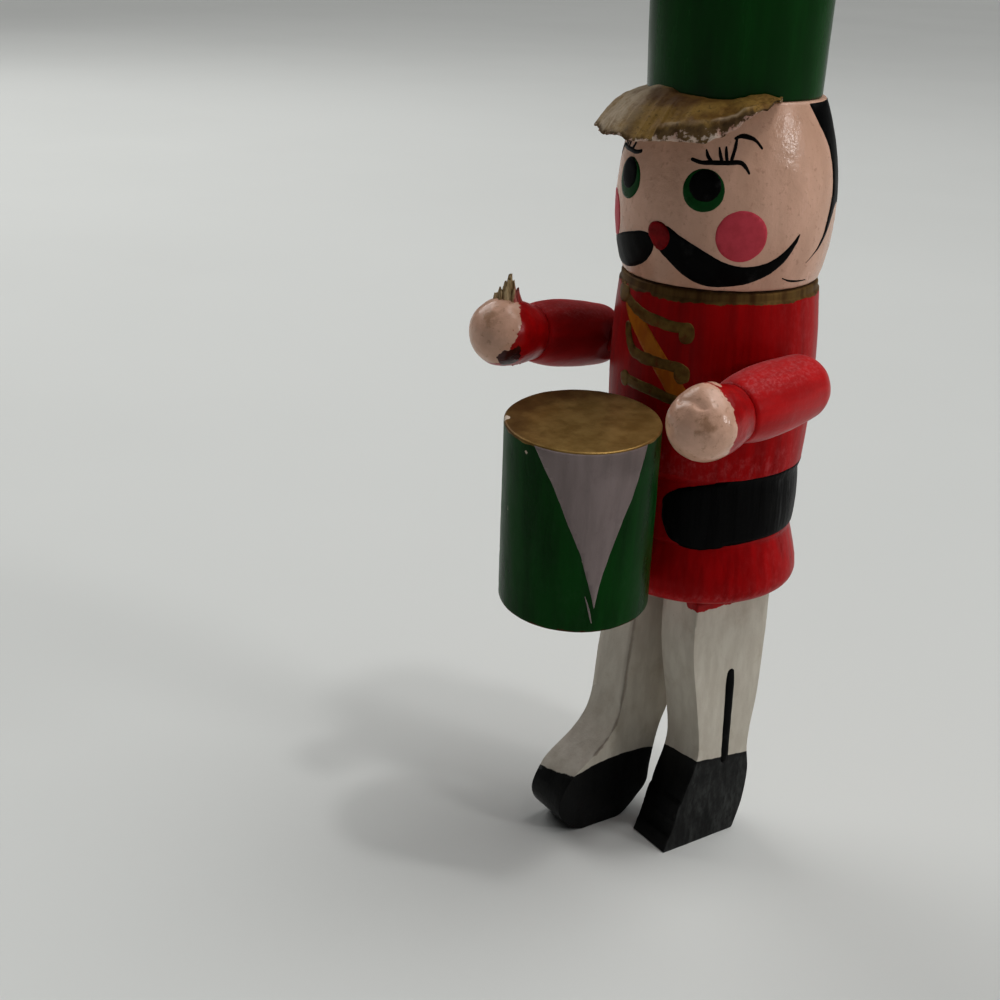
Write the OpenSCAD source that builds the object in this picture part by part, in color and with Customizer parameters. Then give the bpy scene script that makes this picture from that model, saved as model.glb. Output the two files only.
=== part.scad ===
// Drummer toy soldier: turned and sawn wood, painted, hung by a screw eye in its hat.
// The figure looks along -Y, its own left side is +X, and it stands on its soles at z = 0.

/* [Legs] */
// Height from the soles to the underside of the coat
leg_h = 34; // [31:0.5:42]
// Thickness of the board that both legs are sawn from
leg_t = 6.1; // [5:0.1:7]
// Gap between the two legs
leg_gap = 3.4; // [1:0.1:4]
// Width of a leg from front to back under the coat
hip_w = 11.3; // [9:0.1:12.5]
// Width of the left leg from front to back at the ankle
ankle_w = 8; // [6.5:0.1:9]
// Height of the ankles
ankle_h = 12.5; // [11.5:0.5:15]
// Length of the left shoe along the sole
left_shoe_l = 11.9; // [9:0.1:14]
// Length of the right shoe from heel to toe
right_shoe_l = 14.2; // [13:0.1:16]
// Height of the toe of the right shoe
right_toe_h = 8.4; // [7.5:0.1:9.5]
// How far the right heel stands ahead of the spindle
right_step = 3.4; // [0:0.1:5]
// Angle that the legs are turned to the figure's right
legs_turn = 12.5; // [0:0.5:15]
// Diameter of the dowels that join the legs to the coat
leg_dowel_d = 4; // [3:0.1:4.5]
// Depth that a leg dowel goes into the leg and into the coat
leg_dowel_depth = 7.5; // [5:0.1:7.5]

/* [Coat] */
// Height of the skirt of the coat below the belt
skirt_h = 7.4; // [6:0.1:10]
// Diameter of the skirt at its widest
skirt_d = 23.8; // [23:0.1:26]
// Radius of the rounded bottom edge of the skirt
skirt_edge_r = 2; // [0.5:0.1:2.4]
// Height of the belt
belt_h = 8; // [6.5:0.1:10]
// Diameter of the groove under the belt
waist_d = 21.5; // [19:0.1:22.5]
// How far the edges of the belt stand out from the groove
belt_step = 0.1; // [0.05:0.05:0.4]
// How far the belt bulges at its middle
belt_bulge = 0.25; // [0.1:0.05:0.6]
// Height of the chest above the belt, without the collar
chest_h = 20.5; // [18.5:0.1:24]
// Diameter of the chest at its widest
chest_d = 23.6; // [23:0.1:26]
// How far the chest draws in toward its upper and lower edges
chest_in = 0.5; // [0.2:0.05:0.8]
// Height of the collar
collar_h = 1.1; // [0.6:0.1:2]
// Diameter of the collar
collar_d = 22.2; // [21:0.1:22.4]

/* [Head] */
// Height of the head
head_h = 19.6; // [17:0.1:23]
// Diameter of the head at its widest
head_d = 24.4; // [23.4:0.1:27]
// Height of the widest place above the underside of the head
head_mid_h = 7.5; // [6:0.1:10]
// How far the head draws in toward its flat top
head_top_in = 2.2; // [1.5:0.1:3]
// How far the head draws in toward its flat underside
head_bottom_in = 1.1; // [0.5:0.1:2]
// Diameter of the dowel on which the head turns
neck_dowel_d = 7; // [5:0.1:8]
// Depth that the neck dowel goes into the coat
neck_depth = 12; // [8:0.5:13]
// Depth that the neck dowel goes into the hat
hat_depth = 6; // [4:0.5:7]

/* [Hat] */
// Height of the hat
hat_h = 18; // [16:0.5:24]
// Diameter of the hat at its base
hat_base_d = 19; // [18:0.1:19.4]
// Diameter of the hat at its top
hat_top_d = 20; // [19.5:0.1:21]
// Radius of the rounded top edge of the hat
hat_edge_r = 0.8; // [0.3:0.1:1.5]
// How far the visor reaches out from the hat
visor_reach = 5.3; // [4:0.1:6]
// How far the outer edge of the visor drops
visor_drop = 4.8; // [2:0.1:5]
// Thickness of the visor
visor_t = 0.6; // [0.4:0.05:1]
// Angle from the face to the middle of the visor, toward the figure's right
visor_skew = 20; // [0:1:30]
// Half of the angle that the visor spans
visor_half = 82; // [50:1:88]
// Wire diameter of the screw eye
eye_wire_d = 1.2; // [0.8:0.1:1.6]
// Inner diameter of the ring of the screw eye
eye_hole_d = 3.6; // [2.5:0.1:4]
// Depth that the screw eye goes into the hat
eye_depth = 8; // [5:0.5:8.5]

/* [Arms] */
// Distance from the shoulder pin to the middle of the hand
arm_l = 16.2; // [15.5:0.1:18]
// Diameter of the sleeve at its widest
sleeve_d = 7.9; // [7.4:0.1:8.2]
// How far the sleeve draws in toward its round end at the shoulder
shoulder_in = 0.25; // [0.1:0.05:0.5]
// How far the sleeve draws in toward the groove at the hand
cuff_in = 0.75; // [0.4:0.05:1.2]
// Distance from the shoulder pin to the widest place of the sleeve
sleeve_mid_l = 5.8; // [4:0.1:7]
// Diameter of the hand
hand_d = 7.7; // [7:0.1:8.4]
// Length of the back half of the hand, up to the groove
hand_back_l = 4.7; // [3.8:0.1:5]
// Distance from the flat of the sleeve to the axis of the arm
arm_seat = 2.5; // [2.4:0.1:3.4]
// How far the shoulder pins lie ahead of the spindle
shoulder_ahead = 4.4; // [3.5:0.1:5]
// Height of the shoulder pins above the belt
shoulder_up = 11.9; // [10:0.1:13]
// Angle of the left arm above level
left_arm_angle = -1.8; // [-40:0.1:45]
// Angle of the right arm above level
right_arm_angle = 10.6; // [-40:0.1:45]
// Diameter of the shoulder pins
shoulder_pin_d = 3; // [2:0.1:3.4]
// Depth that a shoulder pin goes into the coat
pin_depth = 5; // [3:0.1:5.4]
// Depth that a shoulder pin goes into the sleeve
pin_reach = 4; // [3:0.1:4.5]
// Diameter of the drumsticks
stick_d = 3; // [2:0.1:3.4]
// Distance from the middle of the hand back to the drumstick
stick_back = 0.8; // [0:0.1:1.2]
// Height of the broken right drumstick above the hand
right_stub_h = 2.8; // [1.5:0.1:4]
// Height of the broken left drumstick above the hand
left_stub_h = 0.7; // [0.3:0.1:1.5]

/* [Drum] */
// Diameter of the drum
drum_d = 17; // [14:0.1:17.2]
// Height of the drum
drum_h = 21.6; // [16:0.1:23]
// Height of the middle of the drum above the lower edge of the belt
drum_up = 5.8; // [4:0.1:6]
// How far the drum hangs to the figure's right of the spindle
drum_right = 0.8; // [0:0.1:1]
// Angle that the drum leans forward
drum_lean_front = 3.9; // [0:0.1:5]
// Angle that the drum leans to the figure's left
drum_lean_side = 3.8; // [0:0.1:5]
// Bevel on the edges of the drum
drum_bevel = 0.3; // [0.1:0.05:0.8]
// Diameter of the peg that carries the drum
drum_peg_d = 3; // [2:0.1:3.5]
// Depth that the drum peg goes into the coat and into the drum
drum_peg_depth = 5; // [3.5:0.1:5.5]

/* [Fits] */
// Radial clearance where one piece turns on another
run_gap = 0.05; // [0.02:0.01:0.1]
// Radial clearance where a dowel is glued in
glue_gap = 0.03; // [0.02:0.01:0.1]
// Clearance between the head and the collar
neck_gap = 0.15; // [0.1:0.05:0.4]
// Clearance between the flat of a sleeve and the coat
arm_gap = 0.2; // [0.15:0.05:0.5]
// Clearance between the drum and the skirt of the coat
drum_gap = 0.4; // [0.3:0.05:1.5]
// Room left at the bottom of each blind hole
hole_room = 0.3; // [0.2:0.05:0.6]

/* [Hidden] */
$fn = 128;

// How far a cutting shape runs past the surface that it cuts
past = 1;
// Points on each stretch of a smooth outline
outline_steps = 6;
// Height of the straight wall above the round edge of the skirt
skirt_wall_h = 0.6;
// Share of the visor's reach by which its outer edge is moved forward, so that its ends taper
visor_taper = 0.65;
// Height of the end of a drumstick above the bottom of the hand
stick_tail = 0.6;
// Diameter of the tip of the broken right drumstick
splinter_d = 0.5;

wood_green = [0.02, 0.25, 0.08];
coat_red = [0.62, 0.04, 0.05];
flesh = [0.85, 0.66, 0.58];
bronze = [0.45, 0.33, 0.12];
leg_white = [0.82, 0.8, 0.75];
bare_wood = [0.72, 0.55, 0.35];
steel = [0.7, 0.7, 0.7];

// Heights of the stacked pieces
coat_z = leg_h;
belt_z = coat_z + skirt_h;
chest_z = belt_z + belt_h;
collar_z = chest_z + chest_h;
head_z = collar_z + collar_h + neck_gap;
hat_z = head_z + head_h;
hat_top_z = hat_z + hat_h;
shoulder_z = chest_z + shoulder_up;
drum_mid_h = belt_z + drum_up;

// The spindle stands behind the origin, so that the origin lies under the middle of the whole figure
drum_f = (max(skirt_d, chest_d) + drum_d) / 2 + drum_gap + drum_h / 2 * tan(drum_lean_front);
drum_front = drum_f + (drum_h / 2 - drum_bevel) * sin(drum_lean_front)
    + drum_d / 2 * cos(drum_lean_front);
spindle_y = (drum_front - head_d / 2) / 2;

// Radii and diameters of the turned pieces where they draw in
waist_r = waist_d / 2;
belt_edge_r = waist_r + belt_step;
chest_edge_r = chest_d / 2 - chest_in;
head_top_d = head_d - 2 * head_top_in;
head_bottom_d = head_d - 2 * head_bottom_in;
shoulder_d = sleeve_d - 2 * shoulder_in;
cuff_d = sleeve_d - 2 * cuff_in;

// Arms: the flat of each sleeve lies beside the chest
arm_flat_x = chest_d / 2 + arm_gap;
arm_x = arm_flat_x + arm_seat;
cuff_l = arm_l - hand_back_l;
pin_coat_x = sqrt(pow(chest_edge_r, 2) - pow(shoulder_ahead, 2));
// The flat of the sleeve is a disc round the pin, which fades out in a cone along the sleeve
flat_room = 0.45;
flat_r = sleeve_d / 2 + flat_room;
fade_l = 4.2;
fade_room = 0.15;
fade_depth = sleeve_d / 2 - arm_seat + fade_room;
// Spigot on the sleeve that the hand is glued to
spigot_d = 3;
spigot_l = 1.8;

// Legs, in their own turned frame: f is forward, s is the side
leg_s = (leg_t + leg_gap) / 2;
left_hip_f = 0.3;
right_hip_f = 1.2;
left_ankle_f = -0.2;
left_heel_f = -3;
left_toe_f = left_heel_f + left_shoe_l;
right_shin_f = right_step + 5;
right_toe_f = right_step + right_shoe_l;
// Where the outlines of the legs are set between the hip, the ankle and the sole
thigh_drop = 7;
calf_up = 6.5;
calf_out = 0.8;
instep_drop = 5;
instep_out = 1.7;
toe_up = 2.6;
toe_back = 1.9;
heel_up = 3.6;
heel_drop = 4.4;
heel_bulge = 1.7;
// Length of the round nose of the right shoe, and how far its heel is lifted
toe_round = 2.4;
heel_lift = 3.8;

// Radius of the arc that passes from r_mid to r_end over the height h
function arc_r(r_mid, r_end, h) = (h * h + pow(r_mid - r_end, 2)) / (2 * (r_mid - r_end));

// Point between b and c on the smooth curve through a, b, c and d
function curve_at(a, b, c, d, t) = 0.5 * (2 * b + (c - a) * t
    + (2 * a - 5 * b + 4 * c - d) * t * t + (3 * b - a - 3 * c + d) * t * t * t);

// Smooth curve through the points p
function smooth(p) = concat(
    [for (i = [0 : len(p) - 2]) for (j = [0 : outline_steps - 1])
        curve_at(p[max(i - 1, 0)], p[i], p[i + 1], p[min(i + 2, len(p) - 1)], j / outline_steps)],
    [p[len(p) - 1]]
);

// Half outline of a turned barrel: r_mid at z = 0, r_end at z = h
module barrel_half(r_mid, r_end, h) {
    r_arc = arc_r(r_mid, r_end, h);
    intersection() {
        translate([r_mid - r_arc, 0]) circle(r_arc, $fn = 360);
        square([r_mid, h]);
    }
}

// Moves a shape from the spindle's own frame to the figure's frame
module at_spindle() {
    translate([0, spindle_y, 0]) children();
}

// Frame of an arm: z runs along the arm from the shoulder pin to the hand, y points up
module at_arm(side, angle) {
    at_spindle() translate([side * arm_x, -shoulder_ahead, shoulder_z])
        rotate([-angle, 0, 0]) rotate([90, 0, 0]) children();
}

// Frame of the legs: f runs along -Y and s along +X, turned to the figure's right
module at_legs() {
    at_spindle() rotate([0, 0, -legs_turn]) children();
}

// Upright dowel hole or dowel under the coat
module leg_dowel_at(s, f, d, room) {
    translate([s, -f, leg_h - leg_dowel_depth - room])
        cylinder(d = d, h = 2 * (leg_dowel_depth + room));
}

module leg_dowel_holes() {
    leg_dowel_at(leg_s, left_hip_f, leg_dowel_d + 2 * glue_gap, hole_room);
    leg_dowel_at(-leg_s, right_hip_f, leg_dowel_d + 2 * glue_gap, hole_room);
}

// Pin along X, from x0 to x1 on the side given
module shoulder_pin_at(side, d, x0, x1) {
    translate([side > 0 ? x0 : -x1, -shoulder_ahead, shoulder_z])
        rotate([0, 90, 0]) cylinder(d = d, h = x1 - x0);
}

// Peg along Y, from the front of the spindle
module drum_peg_at(d, f0, f1) {
    translate([-drum_right, -f0, drum_mid_h])
        rotate([90, 0, 0]) cylinder(d = d, h = f1 - f0);
}

drum_peg_f0 = waist_r - drum_peg_depth;
drum_peg_f1 = drum_f - drum_d / 2 + drum_peg_depth;

module neck_dowel_at(d, z0, z1) {
    translate([0, 0, z0]) cylinder(d = d, h = z1 - z0);
}

dowel_z0 = head_z - neck_gap - neck_depth;
dowel_z1 = hat_z + hat_depth;

// Cap: green turned crown with a socket for the dowel below and a pilot hole above
module hat_crown() {
    color(wood_green) at_spindle() difference() {
        translate([0, 0, hat_z]) rotate_extrude() {
            polygon([
                [0, 0], [hat_base_d / 2, 0], [hat_top_d / 2, hat_h - hat_edge_r],
                [hat_top_d / 2 - hat_edge_r, hat_h - hat_edge_r],
                [hat_top_d / 2 - hat_edge_r, hat_h], [0, hat_h]
            ]);
            intersection() {
                translate([hat_top_d / 2 - hat_edge_r, hat_h - hat_edge_r]) circle(hat_edge_r);
                translate([0, hat_h - hat_edge_r]) square([hat_top_d, hat_edge_r]);
            }
        }
        neck_dowel_at(neck_dowel_d + 2 * glue_gap, hat_z - past, dowel_z1 + hole_room);
        translate([0, 0, hat_top_z - eye_depth - hole_room])
            cylinder(d = eye_wire_d + 2 * glue_gap, h = eye_depth + hole_room + past);
    }
}

// Visor: stiff sloping crescent glued round the base of the hat
module hat_visor() {
    visor_in = hat_base_d / 2 + glue_gap + (hat_top_d - hat_base_d) / 2 / hat_h * visor_drop;
    visor_out = visor_in + visor_reach;
    slope_t = visor_t / cos(atan2(visor_drop, visor_reach));
    visor_top_z = hat_z + slope_t + glue_gap
        + (head_top_d / 2 - visor_in) * visor_drop / visor_reach;
    shift = visor_taper * visor_reach;
    color(bronze) at_spindle() rotate([0, 0, -90 - visor_skew]) intersection() {
        translate([0, 0, visor_top_z]) rotate([0, 0, -visor_half]) rotate_extrude(angle = 2 * visor_half)
            polygon([
                [visor_in, 0], [visor_out, -visor_drop],
                [visor_out, -visor_drop - slope_t], [visor_in, -slope_t]
            ]);
        translate([shift, 0, visor_top_z - visor_drop - slope_t - past])
            cylinder(r = visor_out - shift, h = visor_drop + slope_t + 2 * past);
    }
}

// Screw eye in the top of the hat
module hanger_eye() {
    ring_r = (eye_hole_d + eye_wire_d) / 2;
    ring_z = hat_top_z + ring_r + eye_wire_d;
    color(steel) at_spindle() {
        translate([0, 0, ring_z]) rotate([90, 0, 0])
            rotate_extrude() translate([ring_r, 0]) circle(d = eye_wire_d, $fn = 32);
        translate([0, 0, hat_top_z - eye_depth])
            cylinder(d = eye_wire_d, h = eye_depth + eye_wire_d, $fn = 32);
    }
}

// Head: turned barrel with a through hole for the dowel
module head() {
    color(flesh) at_spindle() difference() {
        translate([0, 0, head_z + head_mid_h]) rotate_extrude() {
            barrel_half(head_d / 2, head_top_d / 2, head_h - head_mid_h);
            mirror([0, 1]) barrel_half(head_d / 2, head_bottom_d / 2, head_mid_h);
        }
        neck_dowel_at(neck_dowel_d + 2 * glue_gap, head_z - past, hat_z + past);
    }
}

module neck_dowel() {
    color(bare_wood) at_spindle() neck_dowel_at(neck_dowel_d, dowel_z0, dowel_z1);
}

// Outline of the coat, from the skirt's rounded edge up to the collar
module coat_outline() {
    skirt_r = skirt_d / 2;
    chest_r = chest_d / 2;
    intersection() {
        translate([skirt_r - skirt_edge_r, skirt_edge_r]) circle(skirt_edge_r);
        translate([skirt_r - skirt_edge_r, 0]) square(skirt_edge_r);
    }
    polygon([
        [0, 0], [skirt_r - skirt_edge_r, 0], [skirt_r - skirt_edge_r, skirt_edge_r],
        [skirt_r, skirt_edge_r], [skirt_r, skirt_edge_r + skirt_wall_h], [waist_r, skirt_h], [0, skirt_h]
    ]);
    translate([0, skirt_h + belt_h / 2]) {
        barrel_half(belt_edge_r + belt_bulge, belt_edge_r, belt_h / 2);
        mirror([0, 1]) barrel_half(belt_edge_r + belt_bulge, belt_edge_r, belt_h / 2);
    }
    translate([0, skirt_h + belt_h]) {
        translate([0, chest_h / 2]) {
            barrel_half(chest_r, chest_edge_r, chest_h / 2);
            mirror([0, 1]) barrel_half(chest_r, chest_edge_r, chest_h / 2);
        }
        translate([0, chest_h]) square([collar_d / 2, collar_h]);
    }
}

module coat() {
    color(coat_red) at_spindle() difference() {
        translate([0, 0, coat_z]) rotate_extrude() coat_outline();
        neck_dowel_at(neck_dowel_d + 2 * run_gap, dowel_z0 - hole_room, head_z + past);
        for (side = [-1, 1])
            shoulder_pin_at(side, shoulder_pin_d + 2 * glue_gap,
                pin_coat_x - pin_depth - hole_room, arm_flat_x + past);
        drum_peg_at(drum_peg_d + 2 * glue_gap, drum_peg_f0 - hole_room, drum_f);
        rotate([0, 0, -legs_turn]) leg_dowel_holes();
    }
}

module shoulder_pin(side) {
    color(bare_wood) at_spindle()
        shoulder_pin_at(side, shoulder_pin_d, pin_coat_x - pin_depth, arm_flat_x + pin_reach);
}

module left_shoulder_pin() {
    shoulder_pin(1);
}

module right_shoulder_pin() {
    shoulder_pin(-1);
}

// Shape cut from the inner side of a sleeve: a disc round the pin that fades out in a cone
module sleeve_flat(side) {
    rotate([0, -side * 90, 0]) translate([0, 0, arm_seat]) rotate_extrude()
        polygon([[0, 0], [flat_r, 0], [flat_r + fade_l, fade_depth], [flat_r + fade_l, sleeve_d], [0, sleeve_d]]);
}

// Sleeve: barrel with a round shoulder end and a spigot for the hand
module sleeve(side, angle) {
    color(coat_red) at_arm(side, angle) difference() {
        union() {
            translate([0, 0, sleeve_mid_l]) rotate_extrude() {
                barrel_half(sleeve_d / 2, cuff_d / 2, cuff_l - sleeve_mid_l);
                mirror([0, 1]) barrel_half(sleeve_d / 2, shoulder_d / 2, sleeve_mid_l);
            }
            sphere(d = shoulder_d);
            cylinder(d = spigot_d, h = cuff_l + spigot_l);
        }
        sleeve_flat(side);
        rotate([0, -side * 90, 0]) translate([0, 0, arm_seat - pin_reach - hole_room])
            cylinder(d = shoulder_pin_d + 2 * run_gap, h = pin_reach + hole_room + past);
    }
}

// Upright drumstick through the hand, from below the middle of the hand to above it
module stick_at(d, low, high) {
    translate([0, 0, arm_l - stick_back]) rotate([-90, 0, 0])
        translate([0, 0, low]) cylinder(d = d, h = high - low);
}

// Hand: turned bead with a socket behind and a hole across it for the drumstick
module hand(side, angle) {
    color(flesh) at_arm(side, angle) difference() {
        translate([0, 0, arm_l]) rotate_extrude() {
            intersection() {
                circle(d = hand_d);
                square(hand_d);
            }
            mirror([0, 1]) barrel_half(hand_d / 2, cuff_d / 2, hand_back_l);
        }
        translate([0, 0, cuff_l - past])
            cylinder(d = spigot_d + 2 * glue_gap, h = spigot_l + hole_room + past);
        stick_at(stick_d + 2 * glue_gap, -hand_d, hand_d);
    }
}

stick_low = stick_tail - hand_d / 2;

module left_sleeve() {
    sleeve(1, left_arm_angle);
}

module left_hand() {
    hand(1, left_arm_angle);
}

// Left drumstick, broken off as a low round lump
module left_stick_stub() {
    color(flesh) at_arm(1, left_arm_angle) {
        stick_at(stick_d, stick_low, hand_d / 2);
        translate([0, hand_d / 2, arm_l - stick_back]) intersection() {
            scale(left_stub_h / (stick_d / 2)) sphere(d = stick_d);
            rotate([-90, 0, 0]) cylinder(d = stick_d, h = stick_d);
        }
    }
}

module right_sleeve() {
    sleeve(-1, right_arm_angle);
}

module right_hand() {
    hand(-1, right_arm_angle);
}

// Right drumstick, broken off in a slanting splinter
module right_stick_stub() {
    color(bare_wood) at_arm(-1, right_arm_angle) {
        stick_at(stick_d, stick_low, hand_d / 2);
        translate([0, hand_d / 2, arm_l - stick_back]) rotate([-90, 0, 0])
            cylinder(d1 = stick_d, d2 = splinter_d, h = right_stub_h);
    }
}

// Board cut to an outline of [forward, height] points, standing at the side s
module leg_board(outline, s) {
    translate([s - leg_t / 2, 0, 0]) rotate([90, 0, 90]) linear_extrude(leg_t)
        mirror([1, 0]) polygon(outline);
}

// Straight left leg with a pointed shoe
module left_leg() {
    ankle_front = left_ankle_f + ankle_w / 2;
    ankle_back = left_ankle_f - ankle_w / 2;
    front = smooth([
        [left_hip_f + hip_w / 2, leg_h],
        [left_hip_f + hip_w / 2, leg_h - thigh_drop],
        [ankle_front + calf_out, ankle_h + calf_up],
        [ankle_front, ankle_h],
        [ankle_front + instep_out, ankle_h - instep_drop],
        [left_toe_f - toe_back, toe_up],
        [left_toe_f, 0]
    ]);
    back = smooth([
        [left_heel_f, 0],
        [left_heel_f - 2 / 3 * heel_bulge, heel_up],
        [left_heel_f - heel_bulge, ankle_h - heel_drop],
        [ankle_back, ankle_h],
        [ankle_back - calf_out, ankle_h + calf_up],
        [left_hip_f - hip_w / 2, leg_h - thigh_drop],
        [left_hip_f - hip_w / 2, leg_h]
    ]);
    color(leg_white) at_legs() difference() {
        leg_board(concat(front, back), leg_s);
        leg_dowel_holes();
    }
}

// Right leg, stepping forward, with a blunt round toe and a lifted heel
module right_leg() {
    hip_back = right_hip_f - hip_w / 2;
    front = smooth([
        [right_hip_f + hip_w / 2, leg_h],
        [right_hip_f + hip_w / 2 + calf_out, leg_h - thigh_drop],
        [right_shin_f, ankle_h + calf_up],
        [right_shin_f + calf_out, ankle_h + calf_up / 4],
        [right_toe_f - 2.5 * toe_round, right_toe_h + toe_up],
        [right_toe_f - toe_round, right_toe_h],
        [right_toe_f - toe_round / 3, 0.76 * right_toe_h],
        [right_toe_f, right_toe_h / 2],
        [right_toe_f - toe_round / 3, right_toe_h / 4],
        [right_toe_f - 4 / 3 * toe_round, 0]
    ]);
    back = smooth([
        [right_step + 1.1 * heel_lift, 0],
        [right_step + 0.6 * heel_lift, 0.45 * heel_lift],
        [right_step + 0.1 * heel_lift, heel_lift],
        [right_step, 1.8 * heel_lift],
        [right_step - 0.3 * heel_lift, 3.1 * heel_lift],
        [(right_step + hip_back) / 2, ankle_h + calf_up],
        [hip_back + calf_out, leg_h - thigh_drop / 2],
        [hip_back, leg_h]
    ]);
    color(leg_white) at_legs() difference() {
        leg_board(concat(front, back), -leg_s);
        leg_dowel_holes();
    }
}

module left_leg_dowel() {
    color(bare_wood) at_legs() leg_dowel_at(leg_s, left_hip_f, leg_dowel_d, 0);
}

module right_leg_dowel() {
    color(bare_wood) at_legs() leg_dowel_at(-leg_s, right_hip_f, leg_dowel_d, 0);
}

// Drum: leaning cylinder with bevelled edges and a hole behind for its peg
module drum() {
    r = drum_d / 2;
    b = drum_bevel;
    color(wood_green) at_spindle() difference() {
        translate([-drum_right, -drum_f, drum_mid_h]) rotate([drum_lean_front, drum_lean_side, 0])
            translate([0, 0, -drum_h / 2]) rotate_extrude()
                polygon([[0, 0], [r - b, 0], [r, b], [r, drum_h - b], [r - b, drum_h], [0, drum_h]]);
        drum_peg_at(drum_peg_d + 2 * glue_gap, drum_peg_f0, drum_peg_f1 + hole_room);
    }
}

module drum_peg() {
    color(bare_wood) at_spindle() drum_peg_at(drum_peg_d, drum_peg_f0, drum_peg_f1);
}

hat_crown();
hat_visor();
hanger_eye();
head();
neck_dowel();
coat();
left_shoulder_pin();
right_shoulder_pin();
left_sleeve();
left_hand();
left_stick_stub();
right_sleeve();
right_hand();
right_stick_stub();
left_leg();
right_leg();
left_leg_dowel();
right_leg_dowel();
drum();
drum_peg();
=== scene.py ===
import math
from collections import Counter

import bpy
from mathutils import Matrix, Vector, noise


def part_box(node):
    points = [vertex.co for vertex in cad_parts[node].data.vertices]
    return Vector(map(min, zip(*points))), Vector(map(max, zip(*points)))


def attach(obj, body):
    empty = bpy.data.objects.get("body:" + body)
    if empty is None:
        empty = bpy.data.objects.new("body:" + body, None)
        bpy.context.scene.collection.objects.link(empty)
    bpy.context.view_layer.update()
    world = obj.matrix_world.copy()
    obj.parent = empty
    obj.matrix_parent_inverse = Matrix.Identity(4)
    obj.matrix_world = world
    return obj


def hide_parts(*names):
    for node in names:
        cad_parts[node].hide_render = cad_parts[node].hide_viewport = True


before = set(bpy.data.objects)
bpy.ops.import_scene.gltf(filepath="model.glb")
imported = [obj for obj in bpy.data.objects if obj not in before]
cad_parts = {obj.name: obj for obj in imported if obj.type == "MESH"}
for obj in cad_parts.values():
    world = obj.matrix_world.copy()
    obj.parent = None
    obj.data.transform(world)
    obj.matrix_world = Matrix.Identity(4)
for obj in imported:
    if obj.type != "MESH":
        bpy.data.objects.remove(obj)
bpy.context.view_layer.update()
perMetre = 1000  # new pieces are modelled in millimetres and brought to metres at the end
brushSeed = 4
noise.seed_set(brushSeed)  # the brush shakes the same way each run
finished = []
print("frame loaded:", len(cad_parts), "nodes")


def nodeBox(node):  # a node's corners in millimetres
    low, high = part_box(node)
    return Vector(low) * perMetre, Vector(high) * perMetre


headLow, headHigh = nodeBox("head")
spindle = Vector(((headLow.x + headHigh.x) / 2, (headLow.y + headHigh.y) / 2, 0))


# small helpers for modelling

def clearSelection():
    if bpy.context.mode != "OBJECT":
        bpy.ops.object.mode_set(mode="OBJECT")
    bpy.ops.object.select_all(action="DESELECT")


def workOn(piece):
    clearSelection()
    piece.select_set(True)
    bpy.context.view_layer.objects.active = piece


def editAll(piece):
    workOn(piece)
    bpy.ops.object.mode_set(mode="EDIT")
    bpy.ops.mesh.select_all(action="SELECT")


def named(name):
    piece = bpy.context.active_object
    piece.name = name
    piece.data.name = name
    return piece


def applyModifier(piece, kind, **settings):
    workOn(piece)
    step = piece.modifiers.new(kind.title(), kind)
    for key, value in settings.items():
        setattr(step, key, value)
    bpy.ops.object.modifier_apply(modifier=step.name)


def putAt(piece, matrix):
    workOn(piece)
    piece.matrix_world = matrix
    bpy.ops.object.transform_apply(location=True, rotation=True, scale=True)


def joined(name, pieces):
    workOn(pieces[0])
    for piece in pieces:
        piece.select_set(True)
    bpy.ops.object.join()
    return named(name)


def mergeAndFace(piece, close=0.0005):
    editAll(piece)
    bpy.ops.mesh.remove_doubles(threshold=close)
    bpy.ops.mesh.normals_make_consistent(inside=False)
    bpy.ops.object.mode_set(mode="OBJECT")


def keep(piece, body, finish, slot, *nodes, sharp=180):
    workOn(piece)
    if sharp < 180:
        bpy.ops.object.shade_smooth_by_angle(angle=math.radians(sharp))
    else:
        bpy.ops.object.shade_smooth()
    finished.append((piece, body, finish, slot, nodes))


def throughPoints(points, steps, closed=False):  # a smooth hand-drawn line
    count = len(points)
    spans = count if closed else count - 1
    line = []
    for span in range(spans):
        picks = []
        for shift in (-1, 0, 1, 2):
            at = span + shift
            at = at % count if closed else min(max(at, 0), count - 1)
            picks.append(Vector(points[at]))
        a, b, c, d = picks
        for step in range(steps):
            t = step / steps
            line.append(0.5 * (2 * b + (c - a) * t + (2 * a - 5 * b + 4 * c - d) * t * t
                               + (3 * b - a - 3 * c + d) * t ** 3))
    if not closed:
        line.append(Vector(points[-1]))
    return line


def along(table, x):  # eased value of a short (place, value) list
    if x <= table[0][0]:
        return table[0][1]
    for (xa, va), (xb, vb) in zip(table, table[1:]):
        if x <= xb:
            t = (x - xa) / (xb - xa)
            t = t * t * (3 - 2 * t)
            return va + (vb - va) * t
    return table[-1][1]


def smoothStep(low, high, x):
    t = min(max((x - low) / (high - low), 0), 1)
    return t * t * (3 - 2 * t)


def hump(x, middle, wide):
    return math.exp(-((x - middle) / wide) ** 2)


def fromFront(co):  # degrees round the spindle, the figure's left counted up
    return math.degrees(math.atan2(co.x - spindle.x, spindle.y - co.y))


def swell(wideR, wideZ, endR, endZ, steps):  # turned arc, upright at its widest
    rise = endZ - wideZ
    drop = wideR - endR
    bend = (rise * rise + drop * drop) / (2 * drop)
    arc = []
    for step in range(steps + 1):
        z = rise * step / steps
        arc.append((wideR - bend + math.sqrt(bend * bend - z * z), wideZ + z))
    return arc


def roundOver(r, z, radius, start, end, steps):  # round on a turned edge
    arc = []
    for step in range(steps + 1):
        a = math.radians(start + (end - start) * step / steps)
        arc.append((r + radius * math.cos(a), z + radius * math.sin(a)))
    return arc


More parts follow.
